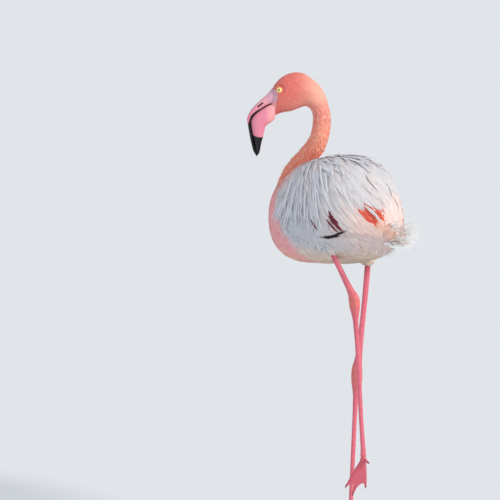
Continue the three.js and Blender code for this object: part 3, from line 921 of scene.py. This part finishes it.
def vanes(name, lines, heights, widths, thickness, tints, material, section=LENS):
    """Builds one closed blade on each line. widths holds two half widths for each station, left and right."""
    points, ups, ways = lines
    count, stations = points.shape[:2]
    sides = np.cross(ups, ways)
    core = points + ups * heights[..., None]
    ring, spread = [], []
    for across, rise in section:
        out = across * (widths[..., 0] if across > 0 else widths[..., 1])
        ring.append(core + sides * out[..., None] + ups * (rise * thickness)[..., None])
        spread.append(out)
    middle = np.stack(ring, axis=2)[:, 1:-1]
    verts = np.concatenate((core[:, :1], middle.reshape(count, -1, 3), core[:, -1:]), axis=1)
    each = verts.shape[1]
    faces = blade_faces(stations - 2, len(section))[None] + (np.arange(count) * each)[:, None, None]
    mesh = bpy.data.meshes.new(name)
    mesh.from_pydata(verts.reshape(-1, 3), [], faces.reshape(-1, 3))
    mesh.shade_smooth()
    sharpen_rims(mesh, each, section)
    # Along and across each feather, in millimetres, for the barbs, and as a small patch at the root's place.
    spread = np.pad(np.stack(spread, axis=2)[:, 1:-1].reshape(count, -1), ((0, 0), (1, 1)))
    run = np.pad(np.cumsum(np.linalg.norm(np.diff(core, axis=1), axis=2), axis=1), ((0, 0), (1, 0)))
    share = over_rings(run / run[:, -1:], len(section))
    barbs = np.stack((np.abs(spread), run[:, -1:] * share - 0.9 * np.abs(spread)), axis=2) / MM
    barbs += np.arange(count)[:, None, None] * np.array((3.7, 11.3))
    half = np.maximum(widths.max(axis=(1, 2)), 1e-6)[:, None]
    patch = np.stack((spread / half, 2 * share - 1), axis=2) * PATCH + root_patch(points[:, 0])[:, None]
    for layer, coords in (("OFBake", patch), ("vane", barbs)):
        flat = coords.reshape(-1, 2)[faces.ravel()].astype(np.float32).ravel()
        mesh.uv_layers.new(name=layer).data.foreach_set("uv", flat)
    paint(mesh, np.clip(over_rings(tints, len(section)).reshape(-1, 3), 0, 1))
    finish_piece(placed(name, mesh), material)


# How strongly red, green and blue are darkened by the painted shade toward a feather's root: red least in
# coral feathers, as painted light shining through them, and blue least in white ones.
ROOT_SHADE_WARM = np.array((0.35, 1.0, 1.15))
ROOT_SHADE_COOL = np.array((1.1, 1.0, 0.9))


def spread_tint(lines, base, root, tip, draw, wander=0.06, depth=ROOT_SHADE_WARM):
    """One colour for each feather, varied a little, with painted shade toward the root and painted light at
    the tip.
    """
    points = lines[0]
    share = np.linspace(0, 1, points.shape[1])[None, :, None]
    own = 1 + wander * draw.normal(size=(len(points), 1, 1))
    deep = root**depth
    return base[:, None] * own * (deep + (tip - deep) * share)


def blade_widths(half_width, profile, low, high, draw, count):
    """Half widths of both edges by station, with each feather a little narrower or broader than the next."""
    own = draw.uniform(low, high, (count, 1, 1))
    return half_width * np.array(profile)[None, :, None] * own * np.ones((1, 1, 2))


down_finish = painted_material(
    "down_finish", 0.75, 1.2, 0.05 * MM, mottle=0.1, subsurface=0.1, sheen=0.15, barbs=(0.2, 1.2, 1),
)


def clear_of_face(points):
    """True where feathers grow: not on the lores, not on the lids."""
    forward, _, up = in_head(points)
    bare = (forward > np.interp(-up, FACE_EDGE[:, 0], FACE_EDGE[:, 1])) & (up < 2.0 * MM)
    bare |= forward > 14 * MM
    for side in EYES:
        out, off = round_eye(points, side)
        bare |= (off < LID_OPENING + 1.6 * MM) & (out > 0)
    return ~bare


def on_head(points):
    """True where the feathers of the head grow."""
    return (along_neck(points)[0] < 0.115) & clear_of_face(points)


def on_neck(points):
    """True where the feathers of the neck grow, a little over the head's and down to the foot of the neck."""
    return (along_neck(points)[0] > 0.11) & (trunk_share(points) < 0.7)


CLUMP = 5 * MM  # about the size of the clumps that small feathers lie in
FLECK_PEACH = light_of(255, 212, 190)


def small_feathers(name, wanted, seed, spacing, length, half_width, rise, root, tip, ruffle, flecks):
    """Fine blades in soft clumps that stand a little, with painted light and shade on the clumps."""
    draw = np.random.default_rng(seed + 100)
    roots = scatter(spacing, wanted, seed)
    count = len(roots)
    clumps = waves(roots, CLUMP, seed)[:, None]
    lengths = length * draw.uniform(0.75, 1.2, count)
    lines = laid(roots, lengths, 3, draw.normal(0, 0.12, count) + 0.1 * waves(roots, 3 * CLUMP, seed + 1))
    # They stand loosest at the foot of the neck, above all behind it.
    foot = bell(roots[:, 2], 0.78, 0.02) * ease(roots[:, 1], -0.08, -0.055)
    loose = (1 + 2.2 * ease(along_neck(roots)[0], 0.2, 0.29) + 2.6 * foot)[:, None]
    lift = loose * rise * (0.8 + ruffle * np.clip(clumps, 0, 1) + 0.3 * draw.random((count, 1)))
    heights = lift * np.array((-0.3, 0.55, 1.0))
    widths = blade_widths(half_width, (0.0, 1.0, 0.0), 0.8, 1.2, draw, count)
    thickness = 0.05 * widths[..., 0] + 0.05 * MM
    tints = spread_tint(lines, plumage_tint(roots), root, tip, draw, 0.03)
    # Painted light and shade: the tint follows the clumps, lighter where they stand and darker where they
    # lie.
    tints = tints * (1 + (0.06 + 0.08 * ruffle) * clumps)[..., None]
    tints = mixed(tints, FLECK_PEACH, flecks * (draw.random((count, 1)) < 0.3) * np.array((0, 0.6, 1.0)))
    vanes(name, lines, heights, widths, thickness, tints, down_finish)


small_feathers(
    "head_feathers", on_head, 11, spacing=1.15 * MM, length=6.5 * MM, half_width=0.9 * MM, rise=0.4 * MM,
    root=1.0, tip=1.04, ruffle=0.15, flecks=0.15,
)
small_feathers(
    "neck_feathers", on_neck, 12, spacing=1.8 * MM, length=11 * MM, half_width=1.2 * MM, rise=0.8 * MM,
    root=0.93, tip=1.08, ruffle=1.0, flecks=0.7,
)

# ---- Breast and belly ------------------------------------------------------------------------------------
# Dense soft body feathers over breast, flanks and belly. Their loose ends part into three or four tufts,
# which close to an even pink or white surface.

FLANK_START = -35 * MM  # the breast's feathers end and the flank's begin here

soft_finish = painted_material(
    "soft_finish", 0.8, 1.2, 0.08 * MM, mottle=0.1, subsurface=0.1, sheen=0.1, barbs=(0.2, 1.2, 1),
)


def on_trunk(points):
    """True on the trunk, past the foot of the neck."""
    return trunk_share(points) > 0.5


def on_breast(points):
    """True where the feathers of the breast grow."""
    return on_trunk(points) & (points[:, 1] < FLANK_START)


def on_flank(points):
    """True over flank and belly and the first 30 mm of the wings, and all over the side before them."""
    y = points[:, 1]
    return on_trunk(points) & (y >= FLANK_START) & ((below_wing(points) > -0.03) | (y < 0.05))


def soft_feathers(name, wanted, seed, spacing, length, half_width, rise, root, tip, fingers):
    """Body feathers whose ends part into fingers, all from one root."""
    draw = np.random.default_rng(seed + 100)
    roots = np.repeat(scatter(spacing, wanted, seed), fingers, axis=0)
    count = len(roots)
    fan = np.tile(np.linspace(-0.2, 0.2, fingers), count // fingers)
    lengths = length * draw.uniform(0.75, 1.15, count)
    lines = laid(roots, lengths, 4, fan + draw.normal(0, 0.08, count))
    heights = rise * np.array((-0.1, 0.35, 0.75, 1.0)) * draw.uniform(0.85, 1.2, (count, 1))
    widths = blade_widths(half_width, (0.0, 0.8, 1.0, 0.0), 0.8, 1.2, draw, count)
    thickness = 0.06 * widths[..., 0] + 0.1 * MM
    tints = spread_tint(lines, plumage_tint(roots), root, tip, draw)
    vanes(name, lines, heights, widths, thickness, tints, soft_finish)


soft_feathers(
    "breast_feathers", on_breast, 21, spacing=5.0 * MM, length=21 * MM, half_width=2.2 * MM, rise=1.7 * MM,
    root=1.0, tip=1.03, fingers=4,
)
soft_feathers(
    "belly_feathers", on_flank, 22, spacing=5.8 * MM, length=22 * MM, half_width=2.3 * MM, rise=1.6 * MM,
    root=0.98, tip=1.04, fingers=4,
)

# ---- Back and wings --------------------------------------------------------------------------------------
# Long pointed white feathers hang from shoulders and back over the folded wings like a cape. Each is a
# stiff shaft with a vane on both sides, and its edges part here and there.

plume_finish = painted_material(
    "plume_finish", 0.6, 1.2, 0.1 * MM, mottle=0.06, subsurface=0.08, barbs=(0.16, 1.1, 1),
)


def caped(points):
    """True where the long feathers are rooted."""
    _, y, z = points.T
    behind = y > 0.01 * waves(points, 0.03, 5)
    flank = (y < 0.03) & (z < 0.7)
    return on_trunk(points) & behind & ~flank & (below_wing(points) < -0.02) & (y < 0.215)


def on_shoulder(points):
    """True on the border before the wings, from the foot of the neck down to the fold of the wing."""
    _, y, z = points.T
    past_pink = y > np.interp(z, PINK_EDGE[:, 0], PINK_EDGE[:, 1]) + 0.01
    return on_trunk(points) & past_pink & (y < 0.045) & (z > 0.693)


CAPE_BACK = (-0.6, -0.45, 0.0, 0.5, 1.1, 1.9, 3.0)  # the lean of the long feathers, at the places of LIE_AT


def lie_of_cape(points, ups):
    """The way the long feathers point: off the spine, then down and back, and forward over the shoulder."""
    back = np.interp(points[:, 1], LIE_AT, CAPE_BACK)
    upright = np.maximum(ups[:, 2], 0)
    back = back * (1 - np.abs(ups[:, 2])) + upright
    aim = np.column_stack((np.zeros(len(points)), back, -np.ones(len(points))))
    return level(unit(aim), ups)


def other_side(knots):
    """The same places on the right side of the body."""
    return np.array(knots) * (-1, 1, 1) + (2 * MIDDLE, 0, 0)


SPOT_SHIFT = np.array((0, 16 * MM, 0))  # on the right side the feathers part this much further forward


def row_of_balls(start, end, radius, count):
    """Places between two points on the left side, and their like on the right, each with a radius."""
    middles = MM * np.linspace(start, end, count)
    return [(place, radius * MM) for place in (*middles, *(other_side(middles) - SPOT_SHIFT))]


# The white feathers part over these spots and show the coral red and the wine red ones below.
RED_SPOTS = row_of_balls((44, 162, 672), (40, 168, 664), 13, 2)
RED_SPOTS += row_of_balls((27, 180, 673), (23, 189, 663), 7, 3)
WINE_SPOTS = row_of_balls((84, 91, 661), (70, 117, 631), 4.5, 6)
WINE_SPOTS += row_of_balls((95, 44, 650), (92, 58, 636), 3, 4)


def in_spots(points, spots, grow):
    """True inside any of the spots, with their radii grown a little."""
    inside = [np.linalg.norm(points - middle, axis=-1) < radius + grow for middle, radius in spots]
    return np.any(inside, axis=0)


def over_spots(spots, shift, grow):
    """A rule for where feathers are rooted that end in the spots: shifted up and forward from them."""
    return lambda points: in_spots(points - MM * np.array(shift), spots, grow)


def shafts(lines, lengths, half_width, draw, rise, lift, point_at, sink=-0.6 * MM):
    """Heights, half widths and thickness of long feathers: a narrow foot, ragged vanes and a pointed end."""
    count, stations = lines[0].shape[:2]
    share = np.linspace(0, 1, stations)[None, :]
    heights = sink + rise * lengths[:, None] * share + lift * draw.uniform(0.2, 1, (count, 1)) * share**2
    heights = heights + draw.uniform(-0.3, 0.3, (count, 1)) * MM
    taper = (0.3 + 0.7 * ease(share, 0, 0.4)) * (1 - ease(share, point_at, 1.0) ** 1.2)
    ragged = 1 - draw.random((count, stations, 2)) ** 5 * 0.5 * ease(share, 0.35, 0.5)[..., None]
    widths = half_width * taper[..., None] * ragged * draw.uniform(0.75, 1.2, (count, 1, 1))
    thickness = (0.3 + 0.25 * taper * draw.uniform(0.6, 1.4, (count, 1))) * MM
    return heights, widths, thickness


STATIONS = 12  # points along each long feather


def plumes(
    name, roots, lengths, half_width, seed, rise, lift=0.0, turn=0.07, point_at=0.5, base=None, clipped=True,
    root=0.86, flow=lie_of_cape,
):
    """Long pointed feathers laid from their roots, in the colour of the skin below or in their own."""
    draw = np.random.default_rng(seed + 100)
    count = len(roots)
    turns = draw.normal(0, turn, count)
    bends = draw.normal(0, 0.1, count)
    if clipped:
        # A white feather ends where it reaches the wing's lower edge or a spot where coloured ones show.
        points = laid(roots, lengths, STATIONS, turns, bends, 0.6, flow)[0]
        below = below_wing(points.reshape(-1, 3)).reshape(count, STATIONS)
        past = below > draw.uniform(-4, 8, (count, 1)) * MM
        past |= in_spots(points, RED_SPOTS + WINE_SPOTS, 0.4 * (half_width - 4 * MM))
        past[:, -1] = True
        lengths = lengths * np.maximum(past.argmax(axis=1) / (STATIONS - 1), 0.3)
    lines = laid(roots, lengths, STATIONS, turns, bends, 0.6, flow)
    heights, widths, thickness = shafts(lines, lengths, half_width, draw, rise, lift, point_at)
    own = plumage_tint(lines[0][:, STATIONS // 2]) if base is None else np.tile(base, (count, 1))
    tints = spread_tint(lines, own, root, 1.03, draw, 0.03, ROOT_SHADE_COOL)
    vanes(name, lines, heights, widths, thickness, tints, plume_finish, VANE)


PLUME_WHITE = light_of(220, 218, 223)
CUFF_CREAM = light_of(226, 208, 192)
back_draw = np.random.default_rng(31)


def drawn_lengths(roots, low, high):
    """A length for each root, between two given in millimetres."""
    return back_draw.uniform(low, high, len(roots)) * MM


def caped_clear_of_spots(points):
    """True where the long feathers are rooted, but not in the spots."""
    return caped(points) & ~in_spots(points, RED_SPOTS + WINE_SPOTS, 2 * MM)


cape_roots = scatter(10.5 * MM, caped_clear_of_spots, 31)
plumes("cape_feathers", cape_roots, drawn_lengths(cape_roots, 50, 90), 7.2 * MM, 32, rise=0.03, point_at=0.55)

# Narrow loose plumes hang from the shoulders over the hollow of the flank.
hung_roots = scatter(12.0 * MM, on_shoulder, 37)
plumes(
    "shoulder_plumes", hung_roots, drawn_lengths(hung_roots, 50, 95), 4.6 * MM, 38, rise=0.06, lift=8 * MM,
    turn=0.12, point_at=0.25, base=PLUME_WHITE,
)

# A small ruff of short feathers closes the back behind the foot of the neck.
MANTLE = MM * np.array((-3, -36, 758))


def round_mantle(points):
    """True where the ruff is rooted, behind its middle."""
    return (np.linalg.norm(points - MANTLE, axis=1) < 24 * MM) & (points[:, 1] > MANTLE[1])


mantle_roots = scatter(7 * MM, round_mantle, 61)
plumes(
    "mantle_feathers", mantle_roots, drawn_lengths(mantle_roots, 22, 34), 4.5 * MM, 62, rise=0.06,
    lift=1 * MM, clipped=False,
)

# Coral red coverts lie under the white feathers and show in two spots on each side.
COVERT_RED = light_of(238, 96, 74)
red_roots = scatter(6 * MM, over_spots(RED_SPOTS, (0, -12, 12), 2 * MM), 33)
plumes(
    "red_coverts", red_roots, drawn_lengths(red_roots, 20, 28), 4.2 * MM, 34, rise=0.08, base=COVERT_RED,
    clipped=False,
)

# Wine red coverts show along the wing's lower edge.
WINE = light_of(112, 28, 46)
QUILL_BLACK = light_of(26, 18, 22)
wine_roots = scatter(4.5 * MM, over_spots(WINE_SPOTS, (0, -9, 10), 1 * MM), 35)
plumes(
    "wine_coverts", wine_roots, drawn_lengths(wine_roots, 16, 24), 2.6 * MM, 36, rise=0.09, base=WINE,
    clipped=False,
)


def placed_feathers(name, routes, half_width, seed, base, sink, lift=1.5 * MM, point_at=0.55):
    """Single long feathers that follow given routes over the left side, and the same ones on the right."""
    draw = np.random.default_rng(seed)
    routes = [MM * np.array(route) for route in routes]
    routes += [other_side(route) for route in routes]
    lines = []
    for route in routes:
        points, ups = on_skin(through(route, STATIONS))
        lines.append((points, ups, level(np.gradient(points, axis=0), ups)))
    lines = tuple(np.array(part) for part in zip(*lines))
    run = np.linalg.norm(np.diff(lines[0], axis=1), axis=2).sum(axis=1)
    heights, widths, thickness = shafts(lines, run, half_width, draw, 0.01, lift, point_at, sink)
    tints = np.broadcast_to(base, lines[0].shape)
    vanes(name, lines, heights, widths, thickness, tints, plume_finish, VANE)


# The black quill feathers of the folded wings show under their lower edge.
placed_feathers("quill_feathers", (
    ((90, 58, 619), (89, 78, 617), (85, 99, 621), (74, 121, 631)),
    ((90, 65, 618), (88, 82, 616), (84, 98, 618), (76, 114, 623)),
    ((89, 71, 621), (87, 88, 620), (81, 106, 626), (69, 127, 637)),
), 1.9 * MM, 42, QUILL_BLACK, sink=2.4 * MM, lift=0.8 * MM, point_at=0.75)
placed_feathers("wine_feathers", (
    ((86, 85, 665), (84, 93, 657), (78, 104, 644), (70, 117, 631)),
    ((84, 93, 665), (82, 100, 655), (76, 109, 642), (68, 122, 629)),
    ((87, 81, 657), (86, 89, 649), (81, 100, 638), (74, 112, 628)),
    ((96, 42, 654), (95, 48, 647), (93, 55, 639), (91, 61, 632)),
), 2.0 * MM, 47, WINE, sink=2.2 * MM, lift=0.8 * MM, point_at=0.6)
placed_feathers("parting_feather", (
    ((48, 150, 690), (42, 165, 680), (33, 180, 664), (26, 192, 648)),
), 3.2 * MM, 43, BACK_WHITE, sink=4.0 * MM)


def on_tuft(points):
    """True where the flank's tufts are rooted, over each leg."""
    off = np.column_stack((off_middle(points) - 0.083, points[:, 1] - 0.042, points[:, 2] - 0.612))
    return np.linalg.norm(off, axis=1) < 0.015


# A white tuft of the flank lies over the top of each leg.
tuft_roots = scatter(4.0 * MM, on_tuft, 45)
plumes(
    "flank_tufts", tuft_roots, drawn_lengths(tuft_roots, 20, 34), 1.7 * MM, 46, rise=0.1, lift=5 * MM,
    turn=0.2, point_at=0.4, base=PLUME_WHITE, clipped=False, root=0.95, flow=lie,
)

LIFTED_THIGH = MM * np.array((59, 66, 592))


def on_cuffs(points):
    """True round the lower ends of both thighs."""
    right = (off_standing_thigh(points) < 0.019) & (points[:, 2] < 0.575)
    left = (np.linalg.norm(points - LIFTED_THIGH, axis=1) < 0.024) & (points[:, 2] < 0.604)
    return right | left


# Loose feathers end the thighs over the bare legs. Those of the lifted leg are the longer ones.
cuff_roots = scatter(3.2 * MM, on_cuffs, 48)
cuff_lengths = drawn_lengths(cuff_roots, 8, 15) * (1 + 0.6 * (cuff_roots[:, 0] > 0))
plumes(
    "cuff_feathers", cuff_roots, cuff_lengths, 1.8 * MM, 49, rise=0.12, lift=1.5 * MM, turn=0.15,
    point_at=0.4, base=CUFF_CREAM, clipped=False, root=0.9, flow=lie,
)

# ---- Tail ------------------------------------------------------------------------------------------------
# A short rounded tail of broad soft white feathers, set side by side in the end of the rump. Long loose
# coverts lie over it and under it, and their barbs hang free like hair.

TAIL_END = 0.281  # where the longest free feathers stop
TAIL_MIDDLE = 0.622  # the height that the tail's feathers spread from
TAIL_WHITE = light_of(255, 252, 250)
FACE_UP = np.array((0, 0.2, 1.0))  # loose feathers turn their flat side about this way

tail_finish = painted_material(
    "tail_finish", 0.6, 1.2, 0.05 * MM, mottle=0.04, subsurface=0.45, sheen=0.3, barbs=(0.16, 1.1, 1),
)


def free_feathers(name, roots, ways, lengths, half_width, seed, curl, section=LENS, stations=8, ending=2.2):
    """Feathers that leave the body and hang free. Each bends its own way and stops at the tail's end."""
    draw = np.random.default_rng(seed)
    count = len(roots)
    points, ups = on_skin(roots)
    ways = unit(ways)
    bend = curl * np.clip(draw.normal(size=(count, 3)), -1.3, 1.3)
    lengths = np.minimum(lengths, (TAIL_END - points[:, 1]) / np.maximum(ways[:, 1] + bend[:, 1], 0.15))
    share = np.linspace(0, 1, stations)
    run = ways[:, None] * share[None, :, None] + bend[:, None] * (share**2)[None, :, None]
    spine = points[:, None] - 0.5 * MM * ups[:, None] + lengths[:, None, None] * run
    headings = unit(np.gradient(spine, axis=1))
    facing = (FACE_UP + 0.3 * draw.normal(size=(count, 3)))[:, None]
    facing = level(np.broadcast_to(facing, spine.shape), headings)
    taper = np.minimum(1, 0.4 + 3 * share) * np.minimum(1, ending * (1 - share))
    widths = blade_widths(half_width, taper, 0.6, 1.3, draw, count)
    tints = spread_tint((spine,), np.tile(TAIL_WHITE, (count, 1)), 0.9, 1.06, draw, 0.04)
    lines, heights = (spine, facing, headings), np.zeros((count, stations))
    vanes(name, lines, heights, widths, 0.35 * widths[..., 0], tints, tail_finish, section)


def clusters(roots, each, aim, spread):
    """Several feathers from each root, in bundles that share a way."""
    ways = unit(unit(aim(roots)) + spread * back_draw.normal(size=(len(roots), 3)))
    ways = np.repeat(ways, each, axis=0)
    return np.repeat(roots, each, axis=0), ways + 0.4 * spread * back_draw.normal(size=ways.shape)


def along_tail(points):
    """Back and outward from the tail's middle line."""
    x, _, z = points.T
    return np.column_stack((1.4 * (x - MIDDLE), np.full(len(points), 0.3), 1.8 * (z - TAIL_MIDDLE)))


def hanging(points):
    """Down and a little forward."""
    return np.tile((0, -0.2, -0.6), (len(points), 1))


def under_rump(points):
    """True on the under side of the rump, before the tail."""
    _, y, z = points.T
    return (y > 0.16) & (y < 0.195) & (z < 0.606) & (off_middle(points) < 0.025)


def round_tail(points):
    """True all round the tail's flesh, and under the rump as far as the flank's feathers."""
    y = points[:, 1]
    return (y > 0.18) | (on_trunk(points) & (y > 0.15) & (below_wing(points) > -0.03))


# Twelve broad feathers make the tail's fan.
fan = np.linspace(-1, 1, 12)
fan_lengths = (40 - 12 * fan**2) * back_draw.uniform(0.85, 1.1, 12) * MM
fan_roots = np.column_stack((MIDDLE + 20 * MM * fan, 0.188 - 0.006 * fan**2, TAIL_MIDDLE - 0.008 * fan**2))
fan_ways = np.column_stack((0.45 * fan, np.ones(12), -0.2 + 0.1 * back_draw.normal(size=12)))
free_feathers("tail_feathers", fan_roots, fan_ways, fan_lengths, 4.6 * MM, 52, 0.08, VANE, 12, 3.5)

# Loose plumes and finer wisps hang in bundles over it, and more plumes under the rump.
tail_roots = scatter(6.0 * MM, lambda points: points[:, 1] > 0.186, 51)
for name, rooted, each, aim, spread, lengths, half_width, seed, curl in (
    ("tail_plumes", tail_roots[::2], 4, along_tail, 0.12, (22, 55), 0.8 * MM, 53, 0.12),
    ("tail_wisps", tail_roots[1::3], 9, along_tail, 0.12, (30, 75), 0.4 * MM, 54, 0.2),
    ("under_tail_plumes", scatter(9 * MM, under_rump, 55), 3, hanging, 0.14, (12, 28), 0.7 * MM, 56, 0.2),
):
    roots, ways = clusters(rooted, each, aim, spread)
    free_feathers(name, roots, ways, drawn_lengths(roots, *lengths), half_width, seed, curl)
soft_feathers(
    "under_tail", round_tail, 57, spacing=5.6 * MM, length=20 * MM, half_width=1.6 * MM, rise=1.8 * MM,
    root=0.95, tip=1.04, fingers=3,
)

# ---- Stage -----------------------------------------------------------------------------------------------
# A plain pale floor without an edge in sight, one broad soft key light high on the right and an even pale
# sky. The camera stands far off and looks a little down on the bird.

FLOOR_RADIUS = 150
AZIMUTH = math.radians(143)
ELEVATION = math.radians(7)
VIEW_CENTRE = Vector((0.1344, -0.1055, 0.5804))
VIEW_WIDTH = 1.0
VIEW_DISTANCE = 16.0
SENSOR_WIDTH = 36

bpy.ops.mesh.primitive_circle_add(vertices=96, radius=FLOOR_RADIUS, fill_type="NGON")
floor = bpy.context.object
floor.name = "floor"
floor_paint = bpy.data.materials.new("floor_paint")
floor_paint.use_nodes = True
floor_shader = floor_paint.node_tree.nodes["Principled BSDF"]
floor_shader.inputs["Base Color"].default_value = (0.78, 0.79, 0.80, 1)
floor_shader.inputs["Roughness"].default_value = 0.9
floor.data.materials.append(floor_paint)

back = Vector((
    math.sin(AZIMUTH) * math.cos(ELEVATION), -math.cos(AZIMUTH) * math.cos(ELEVATION), math.sin(ELEVATION),
))
lens = bpy.data.cameras.new("camera")
lens.sensor_width = SENSOR_WIDTH
lens.lens = SENSOR_WIDTH * VIEW_DISTANCE / VIEW_WIDTH
lens.clip_end = 500
camera = placed("camera", lens)
camera.location = VIEW_CENTRE + back * VIEW_DISTANCE
camera.rotation_mode = "QUATERNION"
camera.rotation_quaternion = (-back).to_track_quat("-Z", "Y")
bpy.context.scene.camera = camera

image_right = Vector((math.cos(AZIMUTH), math.sin(AZIMUTH), 0))
toward = Vector((back.x, back.y, 0)).normalized()


def sun(name, way, strength, spread, colour):
    """A far light from the given way, softer the wider its spread in degrees."""
    light = bpy.data.lights.new(name, "SUN")
    light.energy = strength
    light.angle = math.radians(spread)
    light.color = colour
    lamp = placed(name, light)
    lamp.rotation_mode = "QUATERNION"
    lamp.rotation_quaternion = way.to_track_quat("Z", "Y")


key_way = image_right * 0.75 + toward * 0.62 + Vector((0, 0, 0.58))
fill_way = image_right * -0.8 + toward * 0.7 + Vector((0, 0, 0.5))
sun("key", key_way, strength=2.5, spread=16, colour=(1.0, 0.96, 0.9))
sun("fill", fill_way, strength=0.35, spread=50, colour=(0.86, 0.92, 1.0))
sky = bpy.data.worlds.new("sky")
sky.use_nodes = True
sky_light = sky.node_tree.nodes["Background"]
sky_light.inputs["Color"].default_value = (0.80, 0.86, 0.94, 1)
sky_light.inputs["Strength"].default_value = 0.65
bpy.context.scene.world = sky
bpy.context.scene.view_settings.view_transform = "Standard"
